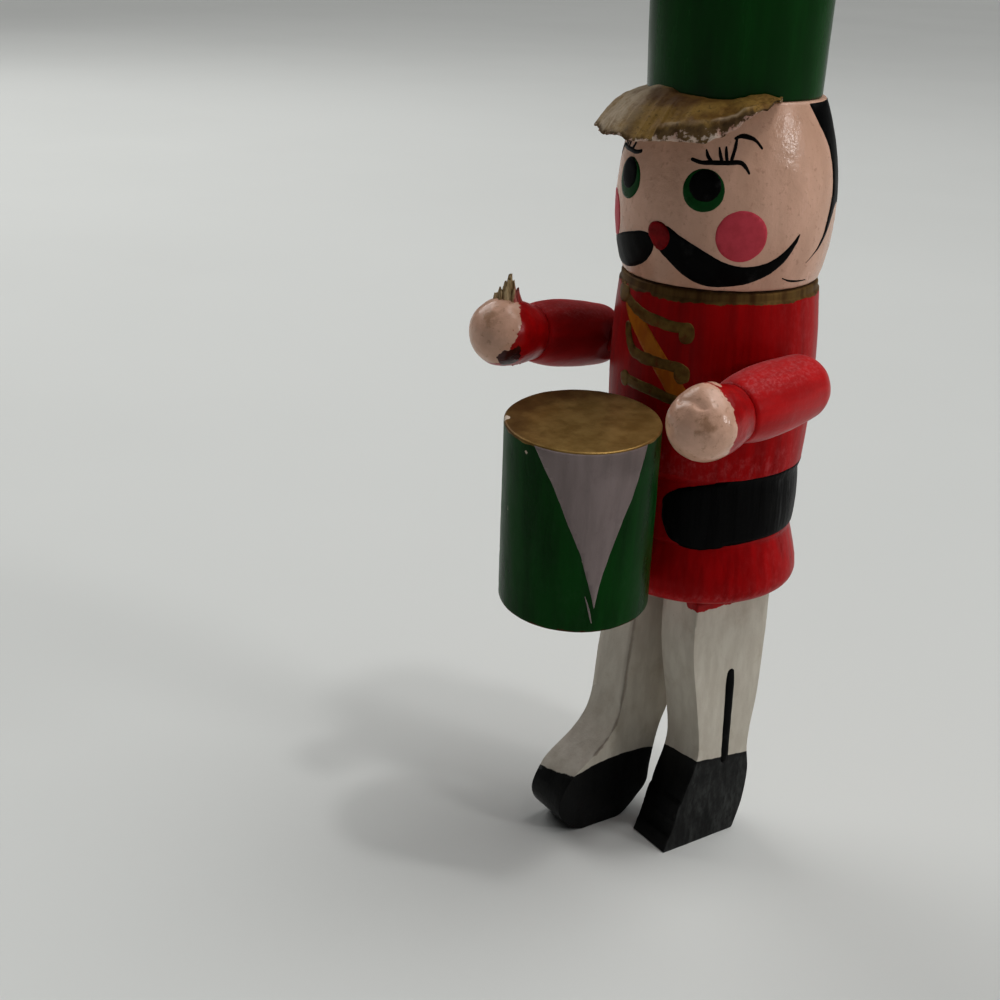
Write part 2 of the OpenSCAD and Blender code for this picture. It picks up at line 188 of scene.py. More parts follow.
def drawnOut(name, points):  # one point drawn out along a line
    clearSelection()
    bpy.ops.mesh.primitive_plane_add(size=1)
    piece = named(name)
    editAll(piece)
    bpy.ops.mesh.merge(type="CENTER")
    bpy.ops.transform.translate(value=points[0])
    for a, b in zip(points, points[1:]):
        move = tuple(q - p for p, q in zip(a, b))
        bpy.ops.mesh.extrude_vertices_move(TRANSFORM_OT_translate={"value": move})
    return piece


def turned(name, profile, steps):  # a profile spun round the upright axis
    piece = drawnOut(name, [(r, 0, z) for r, z in profile])
    bpy.ops.mesh.select_all(action="SELECT")
    bpy.ops.mesh.spin(steps=steps, angle=math.tau, center=(0, 0, 0), axis=(0, 0, 1))
    mergeAndFace(piece)
    return piece


def radiusAt(profile, z):
    best = 0
    for (ra, za), (rb, zb) in zip(profile, profile[1:]):
        if min(za, zb) <= z <= max(za, zb) and za != zb:
            best = max(best, ra + (rb - ra) * (z - za) / (zb - za))
    return best


def unevenSkin(piece, skins):  # the soft lumps of wood under brushed enamel
    for grain, depth in skins:
        cloud = bpy.data.textures.new(piece.name + "Lumps", "CLOUDS")
        cloud.noise_scale = grain
        cloud.noise_depth = 2
        applyModifier(piece, "DISPLACE", texture=cloud, texture_coords="LOCAL",
                      strength=depth, mid_level=0.5)


def storeField(piece, name, measure):  # one number for each point, read by the paint
    field = piece.data.attributes.new(name, "FLOAT", "POINT")
    for vertex in piece.data.vertices:
        field.data[vertex.index].value = measure(vertex.co)


def moveVertices(piece, place):
    for vertex in piece.data.vertices:
        vertex.co = place(vertex.co)


# brushed-on paint is a thin closed film, cut from a flat outline and wrapped

filmPlan = {
    "capTurns": (0.6, 1.2, 1.94, 2.54), "shakeRate": 1.1, "shakeRow": 3.1, "firstCut": 0.37, "lastCut": 0.26,
    "cutClose": 0.00005, "close": 0.002, "sunk": 0.03, "rimThick": 0.6, "above": 0.25,
}


def strokeOutline(line, widths):  # the outline of a brush stroke with rounded ends
    left = []
    right = []
    for index, point in enumerate(line):
        before = line[max(index - 1, 0)]
        after = line[min(index + 1, len(line) - 1)]
        run = (after - before).normalized()
        half = along(widths, index / (len(line) - 1)) / 2
        out = Vector((-run.y, run.x)) * half
        left.append(point + out)
        right.append(point - out)
    caps = []
    for tip, near in ((line[-1], left[-1]), (line[0], right[0])):
        arm = near - tip
        turn = Vector((arm.y, -arm.x))
        caps.append([tip + arm * math.cos(a) + turn * math.sin(a) for a in filmPlan["capTurns"]])
    return left + caps[0] + right[::-1] + caps[1]


def wavering(outline, wobble):  # an unsteady hand, the ring always running the same way round
    ring = []
    for point in outline:
        at = Vector((point[0], point[1], filmPlan["shakeRow"]))
        push = noise.noise_vector(at * filmPlan["shakeRate"])
        ring.append(Vector((point[0] + push.x * wobble, point[1] + push.y * wobble)))
    area = sum(a.x * b.y - b.x * a.y for a, b in zip(ring, ring[1:] + ring[:1]))
    if area < 0:
        ring.reverse()
    return ring


def cutInCells(ring, cell):  # the flat film gets enough points to lie on a curve
    plan = filmPlan
    for axis, across in enumerate(((1, 0, 0), (0, 1, 0))):
        low = min(point[axis] for point in ring)
        high = max(point[axis] for point in ring)
        cuts = int((high - low) / cell)
        for cut in range(1, cuts + 1):
            at = low + (high - low) * (cut - plan["firstCut"]) / (cuts + plan["lastCut"])
            bpy.ops.mesh.select_all(action="SELECT")
            bpy.ops.mesh.bisect(plane_co=Vector(across) * at, plane_no=across,
                                threshold=plan["cutClose"])
    bpy.ops.mesh.select_all(action="SELECT")
    bpy.ops.mesh.remove_doubles(threshold=plan["close"])


def paintFilm(name, outline, wrap, base, thick, cell=0.4, wobble=0.04):
    plan = filmPlan
    ring = wavering(outline, wobble)
    clearSelection()
    bpy.ops.mesh.primitive_circle_add(vertices=len(ring), radius=1, fill_type="NGON")
    piece = named(name)
    for vertex, point in zip(piece.data.vertices, ring):
        vertex.co = (point.x, point.y, 0)
    bpy.ops.object.mode_set(mode="EDIT")
    cutInCells(ring, cell)
    bpy.ops.object.mode_set(mode="OBJECT")
    uses = Counter(key for face in piece.data.polygons for key in face.edge_keys)
    rim = {index for key, used in uses.items() if used == 1 for index in key}
    film = piece.vertex_groups.new(name="film")
    inner = [vertex.index for vertex in piece.data.vertices if vertex.index not in rim]
    film.add(sorted(rim), 0.0, "REPLACE")
    if inner:
        film.add(inner, 1.0, "REPLACE")
    moveVertices(piece, lambda co: wrap(co.x, co.y))
    applyModifier(piece, "SHRINKWRAP", target=base, wrap_method="NEAREST_SURFACEPOINT",
                  wrap_mode="ABOVE_SURFACE", offset=-plan["sunk"])
    applyModifier(piece, "SOLIDIFY", thickness=thick + plan["sunk"], offset=1, vertex_group="film",
                  thickness_vertex_group=plan["rimThick"], use_even_offset=False)
    return piece


def roundMark(centre, wide, tall, count=40):
    turns = [math.tau * step / count for step in range(count)]
    return [Vector((centre[0] + wide * math.cos(a), centre[1] + tall * math.sin(a))) for a in turns]


def flatOn(wide, marks):  # (degrees from the front, height) to flat millimetres
    return [Vector((math.radians(a) * wide, z)) for a, z in marks]


def onTurned(line, wide, axis):  # flat film to turned surface, side measured round from the front
    def place(side, up):
        a = side / wide
        r = radiusAt(line, up) + filmPlan["above"]
        return Vector((axis.x + r * math.sin(a), axis.y - r * math.cos(a), up))
    return place


# finishes: brushed colour, specks, rubbed dust (on some pieces also a painted pale sheen), then further
# layers of paint by a piece's fields, some of them painted shade

def addNode(tree, kind, **settings):
    node = tree.nodes.new(kind)
    for key, value in settings.items():
        setattr(node, key, value)
    return node


def feed(tree, value, socket):
    if isinstance(value, bpy.types.NodeSocket):
        tree.links.new(value, socket)
    elif isinstance(value, (tuple, list)):
        socket.default_value = (*value, 1)
    else:
        socket.default_value = value


def grainOf(tree, perMm, detail, rough=0.55, shift=0.0):  # noise by millimetres, one rate or three
    rates = perMm if isinstance(perMm, tuple) else (perMm, perMm, perMm)
    place = addNode(tree, "ShaderNodeTexCoord")
    stretch = addNode(tree, "ShaderNodeMapping")
    stretch.inputs["Scale"].default_value = [perMetre * rate for rate in rates]
    stretch.inputs["Location"].default_value = (shift, shift * 1.7, -shift)
    grain = addNode(tree, "ShaderNodeTexNoise")
    grain.inputs["Scale"].default_value = 1
    grain.inputs["Detail"].default_value = detail
    grain.inputs["Roughness"].default_value = rough
    tree.links.new(place.outputs["Object"], stretch.inputs["Vector"])
    tree.links.new(stretch.outputs["Vector"], grain.inputs["Vector"])
    return grain.outputs["Fac"]


def ramp(tree, value, span, toLow=0.0, toHigh=1.0):
    node = addNode(tree, "ShaderNodeMapRange", interpolation_type="SMOOTHSTEP")
    feed(tree, value, node.inputs["Value"])
    node.inputs["From Min"].default_value = span[0]
    node.inputs["From Max"].default_value = span[1]
    node.inputs["To Min"].default_value = toLow
    node.inputs["To Max"].default_value = toHigh
    return node.outputs["Result"]


def mathOf(tree, how, a, b):
    node = addNode(tree, "ShaderNodeMath", operation=how)
    feed(tree, a, node.inputs[0])
    feed(tree, b, node.inputs[1])
    return node.outputs[0]


def mixColour(tree, factor, a, b):
    node = addNode(tree, "ShaderNodeMix", data_type="RGBA")
    feed(tree, factor, node.inputs[0])
    feed(tree, a, node.inputs[6])
    feed(tree, b, node.inputs[7])
    return node.outputs[2]


def mixNumber(tree, factor, a, b):
    node = addNode(tree, "ShaderNodeMix", data_type="FLOAT")
    feed(tree, factor, node.inputs[0])
    feed(tree, a, node.inputs[2])
    feed(tree, b, node.inputs[3])
    return node.outputs[0]


def fieldOf(tree, name):
    return addNode(tree, "ShaderNodeAttribute", attribute_name=name).outputs["Fac"]


plainLook = {
    "brushFrom": (0.32, 0.68), "roughFrom": (0.25, 0.75), "fine": 2.6, "speckFrom": (0.62, 0.72),
    "speckFar": 0.3, "rub": 0.25, "dustAndSheenFrom": (0.55, 0.75), "dustAndSheenFar": 0.0, "dustAndSheenRough": 0.75,
    "metal": 0.0, "index": 1.16, "sheen": 0.0, "sheenRough": 0.45, "brushBump": 0.6, "fineBump": 0.4,
    "bump": 0.35, "bumpDeep": 0.00012, "layers": (),
}
plainLayer = {"streakFrom": (0.3, 0.7), "edge": 0.9, "ragged": 0.6, "soft": 0.05, "far": 1.0, "shift": 1.2}


def paint(name, given):
    look = {**plainLook, "speck": given["shade"], "dustAndSheen": given["colour"], **given}
    material = bpy.data.materials.new(name)
    material.use_nodes = True
    tree = material.node_tree
    shader = tree.nodes["Principled BSDF"]
    brush = grainOf(tree, look["brush"], detail=4)
    colour = mixColour(tree, ramp(tree, brush, look["brushFrom"]), look["shade"], look["colour"])
    fine = grainOf(tree, look["fine"], detail=3, rough=0.7, shift=3.3)
    speck = ramp(tree, fine, look["speckFrom"], 0.0, look["speckFar"])
    colour = mixColour(tree, speck, colour, look["speck"])
    rub = grainOf(tree, look["rub"], detail=6, rough=0.7, shift=7.7)
    dustAndSheen = ramp(tree, rub, look["dustAndSheenFrom"], 0.0, look["dustAndSheenFar"])
    if "dustAndSheenField" in look:
        dustAndSheen = mathOf(tree, "MULTIPLY", dustAndSheen, ramp(tree, fieldOf(tree, look["dustAndSheenField"]), (0.0, 1.0)))
    colour = mixColour(tree, dustAndSheen, colour, look["dustAndSheen"])
    rough = ramp(tree, brush, look["roughFrom"], *look["rough"])
    rough = mixNumber(tree, dustAndSheen, rough, look["dustAndSheenRough"])
    metal = look["metal"]
    for own in look["layers"]:
        layer = {**plainLayer, **own}
        torn = grainOf(tree, layer["edge"], detail=4, rough=0.6, shift=layer["shift"])
        torn = mathOf(tree, "MULTIPLY", mathOf(tree, "SUBTRACT", torn, 0.5), layer["ragged"])
        depth = mathOf(tree, "ADD", fieldOf(tree, layer["field"]), torn)
        mask = ramp(tree, depth, (-layer["soft"], layer["soft"]), 0.0, layer["far"])
        streak = ramp(tree, brush, layer["streakFrom"])
        coat = mixColour(tree, streak, layer["shade"], layer["colour"])
        colour = mixColour(tree, mask, colour, coat)
        rough = mixNumber(tree, mask, rough, layer["rough"])
        if "metal" in own or "metal" in given:
            metal = mixNumber(tree, mask, metal, layer.get("metal", 0.0))
    feed(tree, colour, shader.inputs["Base Color"])
    feed(tree, rough, shader.inputs["Roughness"])
    feed(tree, metal, shader.inputs["Metallic"])
    shader.inputs["IOR"].default_value = look["index"]
    shader.inputs["Sheen Weight"].default_value = look["sheen"]
    shader.inputs["Sheen Roughness"].default_value = look["sheenRough"]
    height = mathOf(tree, "ADD", mathOf(tree, "MULTIPLY", brush, look["brushBump"]),
                    mathOf(tree, "MULTIPLY", fine, look["fineBump"]))
    bump = addNode(tree, "ShaderNodeBump")
    bump.inputs["Strength"].default_value = look["bump"]
    bump.inputs["Distance"].default_value = look["bumpDeep"]
    feed(tree, height, bump.inputs["Height"])
    feed(tree, bump.outputs["Normal"], shader.inputs["Normal"])
    return material


redPair = {"colour": (0.42, 0.0015, 0.003), "shade": (0.30, 0.001, 0.002)}
redDustAndSheen = (0.62, 0.20, 0.21)
greenColours = {"colour": (0.0015, 0.058, 0.004), "shade": (0.0008, 0.036, 0.002), "dustAndSheen": (0.16, 0.22, 0.17)}
fleshColours = {"colour": (0.72, 0.455, 0.34), "shade": (0.62, 0.385, 0.28), "dustAndSheen": (0.45, 0.27, 0.17)}

hatGreen = paint("hatGreen", {
    **greenColours, "brush": (0.3, 0.3, 0.05), "rough": (0.2, 0.3), "bump": 0.25, "speckFar": 0.15,
    "dustAndSheenFar": 0.08, "dustAndSheenFrom": (0.62, 0.8), "brushBump": 0.35, "fineBump": 0.3, "index": 1.2})
drumGreen = paint("drumGreen", {
    **greenColours, "brush": (0.5, 0.5, 0.08), "rough": (0.24, 0.4),
    "rub": (1.0, 1.0, 0.45), "dustAndSheenFar": 0.42, "dustAndSheenFrom": (0.44, 0.85), "dustAndSheenField": "scuff",
    "layers": [
        {"field": "top", "colour": (0.37, 0.24, 0.085), "shade": (0.25, 0.15, 0.045), "rough": 0.32,
         "metal": 0.45, "edge": 0.6},
        # painted shade on the drumhead's rim toward the figure's right
        {"field": "farRimShade", "colour": (0.12, 0.06, 0.018), "shade": (0.07, 0.03, 0.009), "rough": 0.45,
         "metal": 0.3, "ragged": 1.6, "edge": 0.4, "soft": 0.6, "far": 0.8, "shift": 6.0},
        {"field": "bottom", "colour": (0.09, 0.03, 0.01), "shade": (0.05, 0.016, 0.006), "rough": 0.7,
         "ragged": 1.2},
        {"field": "chip", "colour": (0.72, 0.62, 0.52), "shade": (0.6, 0.48, 0.38), "rough": 0.7,
         "ragged": 0.5}]})
# the pale dust on the coat's flanks is partly a painted sheen
coatRed = paint("coatRed", {
    **redPair, "dustAndSheen": redDustAndSheen, "brush": (0.8, 0.8, 0.07), "rough": (0.26, 0.42), "bump": 0.4, "sheen": 0.05,
    "index": 1.13, "rub": (1.5, 1.5, 0.9), "dustAndSheenFar": 0.34, "dustAndSheenFrom": (0.42, 0.82), "dustAndSheenField": "dryAndSheen",
    "layers": [
        {"field": "collar", "colour": (0.17, 0.10, 0.03), "shade": (0.075, 0.034, 0.01), "rough": 0.5,
         "metal": 0.3, "ragged": 1.3, "edge": 0.6}]})
# the pale dust along the sleeves' top and underside is partly a painted sheen and highlight
sleeveRed = paint("sleeveRed", {
    "colour": (0.52, 0.002, 0.004), "shade": (0.38, 0.0015, 0.003), "dustAndSheen": redDustAndSheen,
    "brush": (0.5, 0.12, 0.5), "rough": (0.28, 0.46), "bump": 0.5, "sheen": 0.22,
    "rub": (2.6, 1.8, 2.6), "dustAndSheenFar": 0.42, "dustAndSheenFrom": (0.42, 0.74), "dustAndSheenField": "dryAndSheen"})
pinRed = paint("pinRed", {**redPair, "dustAndSheen": redDustAndSheen, "brush": 0.6, "rough": (0.35, 0.5)})
headFlesh = paint("headFlesh", {
    **fleshColours, "brush": (0.35, 0.35, 0.12), "rough": (0.15, 0.28), "bump": 1.2, "fine": 1.4,
    "speck": (0.46, 0.26, 0.18), "speckFar": 0.5, "speckFrom": (0.56, 0.72), "index": 1.36})
handFlesh = paint("handFlesh", {
    **fleshColours, "brush": 0.6, "rough": (0.13, 0.28), "bump": 0.9, "fine": 1.5,
    "speck": (0.34, 0.19, 0.11), "speckFar": 0.5, "speckFrom": (0.56, 0.72), "index": 1.4,
    "layers": [
        {"field": "worn", "colour": (0.36, 0.19, 0.09), "shade": (0.26, 0.13, 0.06), "rough": 0.6,
         "ragged": 3.2, "edge": 1.2, "soft": 0.45, "far": 0.6},
        {"field": "cuff", **redPair, "rough": 0.3, "ragged": 3.0, "edge": 0.45},
        {"field": "bare", "colour": (0.065, 0.007, 0.005), "shade": (0.035, 0.005, 0.003), "rough": 0.25,
         "ragged": 2.2, "edge": 0.6}]})
legWhite = paint("legWhite", {
    "colour": (0.63, 0.585, 0.505), "shade": (0.55, 0.50, 0.425), "dustAndSheen": (0.40, 0.335, 0.25), "index": 1.25,
    "brush": (0.7, 0.7, 0.2), "rough": (0.36, 0.52), "bump": 0.7, "dustAndSheenFar": 0.5, "dustAndSheenFrom": (0.5, 0.8),
    "speck": (0.24, 0.2, 0.15), "speckFar": 0.4, "speckFrom": (0.66, 0.76),
    "layers": [
        # the edge layer is a painted shade line along the right leg's front inner corner
        {"field": "edge", "colour": (0.17, 0.11, 0.07), "shade": (0.10, 0.06, 0.04), "rough": 0.6,
         "ragged": 0.25, "soft": 0.12, "far": 0.5},
        {"field": "bleed", **redPair, "rough": 0.4, "ragged": 0.8},
        {"field": "shoe", "colour": (0.006, 0.006, 0.006), "shade": (0.0025, 0.0025, 0.0025), "rough": 0.36,
         "ragged": 0.45, "edge": 0.5},
        {"field": "scrape", "colour": (0.10, 0.105, 0.10), "shade": (0.02, 0.02, 0.02), "rough": 0.6,
         "ragged": 2.2, "edge": (1.7, 1.7, 0.8), "soft": 0.5, "far": 0.45, "shift": 5.0}]})
visorBronze = paint("visorBronze", {
    "colour": (0.30, 0.185, 0.05), "shade": (0.15, 0.075, 0.018), "dustAndSheen": (0.58, 0.48, 0.36), "metal": 0.15,
    "brush": 0.42, "rough": (0.45, 0.66), "bump": 1.0, "dustAndSheenFar": 0.9, "dustAndSheenFrom": (0.3, 0.6),
    "dustAndSheenField": "suede", "speck": (0.06, 0.034, 0.012), "speckFar": 0.6, "speckFrom": (0.54, 0.7),
    "layers": [
        # the valley layer is painted shade in the visor's hollow
        {"field": "valleyShade", "colour": (0.13, 0.06, 0.022), "shade": (0.07, 0.03, 0.012), "rough": 0.6,
         "ragged": 1.4, "edge": 0.5, "soft": 0.4, "far": 0.75},
        # the under layer is painted shade along the visor's outer edge
        {"field": "under", "colour": (0.16, 0.10, 0.045), "shade": (0.05, 0.028, 0.012), "rough": 0.75,
         "ragged": 0.5, "soft": 0.12, "far": 0.95},
        {"field": "tear", "colour": (0.66, 0.55, 0.46), "shade": (0.42, 0.2, 0.15), "rough": 0.8,
         "ragged": 1.7, "edge": 1.3, "soft": 0.1, "far": 0.9, "shift": 4.1}]})
inkBlack = paint("inkBlack", {
    "colour": (0.005, 0.005, 0.005), "shade": (0.0025, 0.0025, 0.0025), "brush": (0.6, 0.6, 0.3),
    "rough": (0.3, 0.42), "dustAndSheen": (0.06, 0.06, 0.06), "dustAndSheenFar": 0.3, "index": 1.1})
# the pale streaks on the belt's flanks are a painted sheen
beltBlack = paint("beltBlack", {
    "colour": (0.006, 0.006, 0.006), "shade": (0.003, 0.003, 0.003), "brush": (1.4, 1.4, 0.1),
    "rough": (0.24, 0.46), "dustAndSheen": (0.12, 0.12, 0.12), "dustAndSheenFar": 0.6, "rub": (1.8, 1.8, 0.14),
    "dustAndSheenFrom": (0.46, 0.7), "dustAndSheenField": "flankSheen", "bump": 0.6, "index": 1.1})
irisGreen = paint("irisGreen", {
    "colour": (0.004, 0.07, 0.012), "shade": (0.003, 0.05, 0.008), "brush": 0.8, "rough": (0.26, 0.36)})
cheekPink = paint("cheekPink", {
    "colour": (0.60, 0.075, 0.105), "shade": (0.52, 0.06, 0.085), "speck": (0.42, 0.05, 0.06),
    "brush": 0.7, "rough": (0.32, 0.46)})
noseRed = paint("noseRed", {
    "colour": (0.34, 0.004, 0.008), "shade": (0.18, 0.002, 0.004), "brush": 0.6, "rough": (0.25, 0.35)})
braidBronze = paint("braidBronze", {
    "colour": (0.20, 0.125, 0.03), "shade": (0.12, 0.06, 0.014), "metal": 0.4, "brush": 0.9,
    "rough": (0.38, 0.55), "dustAndSheen": (0.2, 0.012, 0.008), "dustAndSheenFar": 0.6, "dustAndSheenFrom": (0.56, 0.7), "rub": 0.9})
sashOchre = paint("sashOchre", {
    "colour": (0.52, 0.18, 0.012), "shade": (0.40, 0.11, 0.008), "brush": (0.7, 0.7, 0.3),
    "rough": (0.34, 0.46), "dustAndSheen": (0.3, 0.02, 0.006), "dustAndSheenFar": 0.3})
drumLilac = paint("drumLilac", {
    "colour": (0.29, 0.235, 0.23), "shade": (0.24, 0.195, 0.19), "brush": (0.7, 0.7, 0.09),
    "rough": (0.3, 0.46), "speck": (0.16, 0.11, 0.10), "speckFar": 0.35, "speckFrom": (0.62, 0.76),
    "dustAndSheen": (0.2, 0.155, 0.155), "dustAndSheenFar": 0.35, "bump": 0.6})
bareWood = paint("bareWood", {
    "colour": (0.50, 0.30, 0.14), "shade": (0.32, 0.17, 0.07), "brush": (0.8, 0.8, 0.12),
    "rough": (0.55, 0.7), "dustAndSheen": (0.2, 0.1, 0.04), "dustAndSheenFar": 0.4})
splitWood = paint("splitWood", {
    "colour": (0.58, 0.45, 0.27), "shade": (0.24, 0.155, 0.07), "brush": (1.6, 1.6, 0.35),
    "rough": (0.6, 0.8), "dustAndSheen": (0.6, 0.47, 0.31), "dustAndSheenFar": 0.6, "bump": 0.8,
    "layers": [
        {"field": "reddened", "colour": (0.55, 0.22, 0.19), "shade": (0.36, 0.03, 0.03), "rough": 0.45,
         "ragged": 1.2, "soft": 0.15}]})
wireBrass = paint("wireBrass", {
    "colour": (0.55, 0.43, 0.22), "shade": (0.40, 0.29, 0.13), "metal": 1.0, "brush": 0.6,
    "rough": (0.25, 0.42), "dustAndSheen": (0.2, 0.13, 0.06), "dustAndSheenFar": 0.4})
print("finishes ready")


# head and painted face

headPlan = {
    "wide": (headHigh.x - headLow.x) / 2, "wideUp": 7.5, "topIn": 2.2, "bottomIn": 1.1, "edge": 0.45,
    "topEdge": 0.25, "topRound": [(0.12, 0.06), (0.35, 0.0)], "flats": (4, 8), "lowSteps": 34,
    "highSteps": 60, "steps": 240, "skins": [(6.0, 0.08), (2.0, 0.05), (0.8, 0.07)],
}


def headProfile():
    plan = headPlan
    low, high = headLow.z, headHigh.z
    mid = low + plan["wideUp"]
    top = plan["wide"] - plan["topIn"]
    bottom = plan["wide"] - plan["bottomIn"]
    edge = plan["edge"]
    near, far = plan["flats"]
    line = [(0, low), (near, low), (far, low), (bottom - edge, low), (bottom - edge * 0.4, low + edge * 0.14)]
    line += swell(plan["wide"], mid, bottom, low + edge * 0.6, plan["lowSteps"])[::-1]
    line += swell(plan["wide"], mid, top, high - plan["topEdge"], plan["highSteps"])[1:]
    line += [(top - inward, high - under) for inward, under in plan["topRound"]]
    return line + [(far, high), (near, high), (0, high)]


headLine = headProfile()
headPiece = turned("paintedHead", headLine, headPlan["steps"])
putAt(headPiece, Matrix.Translation(spindle))
unevenSkin(headPiece, headPlan["skins"])
keep(headPiece, "head", headFlesh, "flesh_enamel", "head")
headWrap = onTurned(headLine, headPlan["wide"], spindle)

facePlan = {  # marks by degrees from the front and height
    "iris": (24.6, 81.9, 2.27, 0.985, 0.06), "pupil": (25.2, 82.4, 1.74, 0.96, 0.11),
    "cheek": (45.4, 77.3, 2.76, 1, 0.05),
    "nose": [(-4.3, 77.2), (-2.6, 77.8), (0.6, 78.1), (4.6, 77.95), (8.2, 77.3), (8.8, 76.3), (6.6, 75.4),
             (3.2, 75.0), (0.4, 75.25), (-2.4, 75.9), (-4.2, 76.6)],
    "moustache": [(1.5, 75.3), (8.4, 73.95), (18.2, 72.36), (29.9, 71.62), (44.4, 71.8), (56.5, 72.47),
                  (66.3, 73.64), (72.9, 75.1), (77.8, 77.4), (69.3, 75.55), (60.4, 74.42), (49.4, 73.98),
                  (37.8, 74.43), (26.8, 75.58), (14.5, 76.91), (6.4, 77.75), (3.0, 76.6)],
    "farMoustache": [(-1.2, 75.3), (-5.0, 73.9), (-11.5, 72.9), (-22, 72.15), (-33.7, 71.85), (-45, 71.9),
                     (-57, 72.5), (-66, 73.6), (-73, 75.0), (-77.4, 77.2), (-69, 75.6), (-60, 74.7),
                     (-49, 74.5), (-37, 75.2), (-24.5, 75.95), (-10.1, 76.65), (-3.0, 76.4)],
    "hair": [(86.5, 91.0), (91.5, 89.4), (96.1, 88.02), (101, 86.6), (103.8, 85.4), (105.6, 83.6),
             (105.6, 81.6), (103.6, 80.0), (101.1, 78.6), (97.8, 76.6), (93.0, 75.1), (86.6, 73.95),
             (95.0, 75.2), (100.8, 76.5), (105.5, 78.0), (110, 79.2), (116, 79.8), (124, 79.5),
             (136, 79.0), (150, 78.4), (165, 78.1), (180, 78.0)],
    "lid": [(17.2, 84.95), (22, 84.72), (26.5, 84.78), (32, 84.82), (36.1, 84.86), (41.6, 84.95),
            (44.3, 84.6), (46.6, 83.9)],
    "lidWide": [(0, 0.4), (0.4, 0.5), (0.8, 0.46), (1, 0.26)],
    "brow": [(38.6, 87.3), (41.5, 87.55), (45, 87.5), (49.4, 87.15), (52.9, 86.4)],
    "browWide": [(0, 0.28), (0.4, 0.52), (1, 0.24)],
    "lashes": [[(23.9, 86.0), (25.2, 85.4), (27.4, 84.85)], [(30.6, 86.3), (31.4, 85.6), (32.6, 84.9)],
               [(34.2, 86.4), (34.5, 85.7), (35.1, 85.0)], [(39.6, 87.5), (38.8, 86.4), (37.2, 84.95)]],
    "lashWide": [(0, 0.2), (0.5, 0.38), (1, 0.36)],
    "stray": [(72.0, 72.5), (77, 72.15), (84, 71.95), (91.5, 71.9)],
    "strayWide": [(0, 0.12), (0.5, 0.24), (1, 0.1)],
    "dashThick": 0.05, "dashWobble": 0.03, "moustacheThick": 0.09, "moustacheCell": 0.45,
    "hairThick": 0.06, "hairCell": 0.7, "noseThick": 0.18, "noseCell": 0.25,
}


def flatOnHead(marks, turn=1):
    return flatOn(headPlan["wide"], [(a * turn, z) for a, z in marks])


def headFilm(name, outline, thick, cell=0.4, wobble=0.04):
    return paintFilm(name, outline, headWrap, headPiece, thick, cell, wobble)


def dotOnHead(kind, side, turn):
    a, z, r, squat, thick = facePlan[kind]
    at = flatOnHead([(a, z)], turn)[0]
    return headFilm(kind + side, roundMark(at, r, r * squat), thick)


def dashOnHead(name, marks, widths, turn=1):
    line = throughPoints(flatOnHead(marks, turn), 5)
    return headFilm(name, strokeOutline(line, widths), facePlan["dashThick"], wobble=facePlan["dashWobble"])


def paintFace():
    plan = facePlan
    ink = []
    irises = []
    cheeks = []
    for side, turn in (("Left", 1), ("Right", -1)):
        irises.append(dotOnHead("iris", side, turn))
        ink.append(dotOnHead("pupil", side, turn))
        cheeks.append(dotOnHead("cheek", side, turn))
        ink.append(dashOnHead("lid" + side, plan["lid"], plan["lidWide"], turn))
        ink.append(dashOnHead("brow" + side, plan["brow"], plan["browWide"], turn))
        for number, lash in enumerate(plan["lashes"]):
            ink.append(dashOnHead(f"lash{side}{number}", lash, plan["lashWide"], turn))
    for name, marks in (("moustacheLeft", plan["moustache"]), ("moustacheRight", plan["farMoustache"])):
        ring = throughPoints(flatOnHead(marks), 5, closed=True)
        ink.append(headFilm(name, ring, plan["moustacheThick"], plan["moustacheCell"]))
    half = plan["hair"]
    around = half + [(360 - a, z) for a, z in half[-2::-1]]
    ring = throughPoints(flatOnHead(around), 4)
    ink.append(headFilm("hairBack", ring, plan["hairThick"], plan["hairCell"]))
    ink.append(dashOnHead("strayStroke", plan["stray"], plan["strayWide"]))
    ring = throughPoints(flatOnHead(plan["nose"]), 4, closed=True)
    nose = headFilm("noseDab", ring, plan["noseThick"], plan["noseCell"])
    keep(joined("faceInk", ink), "head", inkBlack, "flesh_enamel")
    keep(joined("irises", irises), "head", irisGreen, "flesh_enamel")
    keep(joined("cheeks", cheeks), "head", cheekPink, "flesh_enamel")
    keep(nose, "head", noseRed, "flesh_enamel")


paintFace()
print("head and face painted")


# tall hat with its torn visor and the hanging eye

hatLow, hatHigh = nodeBox("hat_crown")
hatPlan = {
    "baseR": 9.5, "topR": (hatHigh.x - hatLow.x) / 2, "edge": 0.8, "foot": 0.25, "rings": 40, "dish": 0.06,
    "steps": 192, "skins": [(5.0, 0.07)],
}


def hatProfile():
    plan = hatPlan
    low, high = hatLow.z, hatHigh.z
    foot, edge = plan["foot"], plan["edge"]
    line = [(0, low), (5, low)] + roundOver(plan["baseR"] - foot, low + foot, foot, -90, 0, 4)
    rise = high - edge - (low + foot)
    for step in range(1, plan["rings"]):
        t = step / plan["rings"]
        line.append((plan["baseR"] + (plan["topR"] - plan["baseR"]) * t, low + foot + rise * t))
    line += roundOver(plan["topR"] - edge, high - edge, edge, 0, 90, 8)
    dish = high - plan["dish"]
    return line + [(7, high - plan["dish"] / 2), (4, dish), (2, dish), (0, dish)]


hatPiece = turned("hatCrown", hatProfile(), hatPlan["steps"])
putAt(hatPiece, Matrix.Translation(spindle))
unevenSkin(hatPiece, hatPlan["skins"])
keep(hatPiece, "head", hatGreen, "green_enamel", "hat_crown")

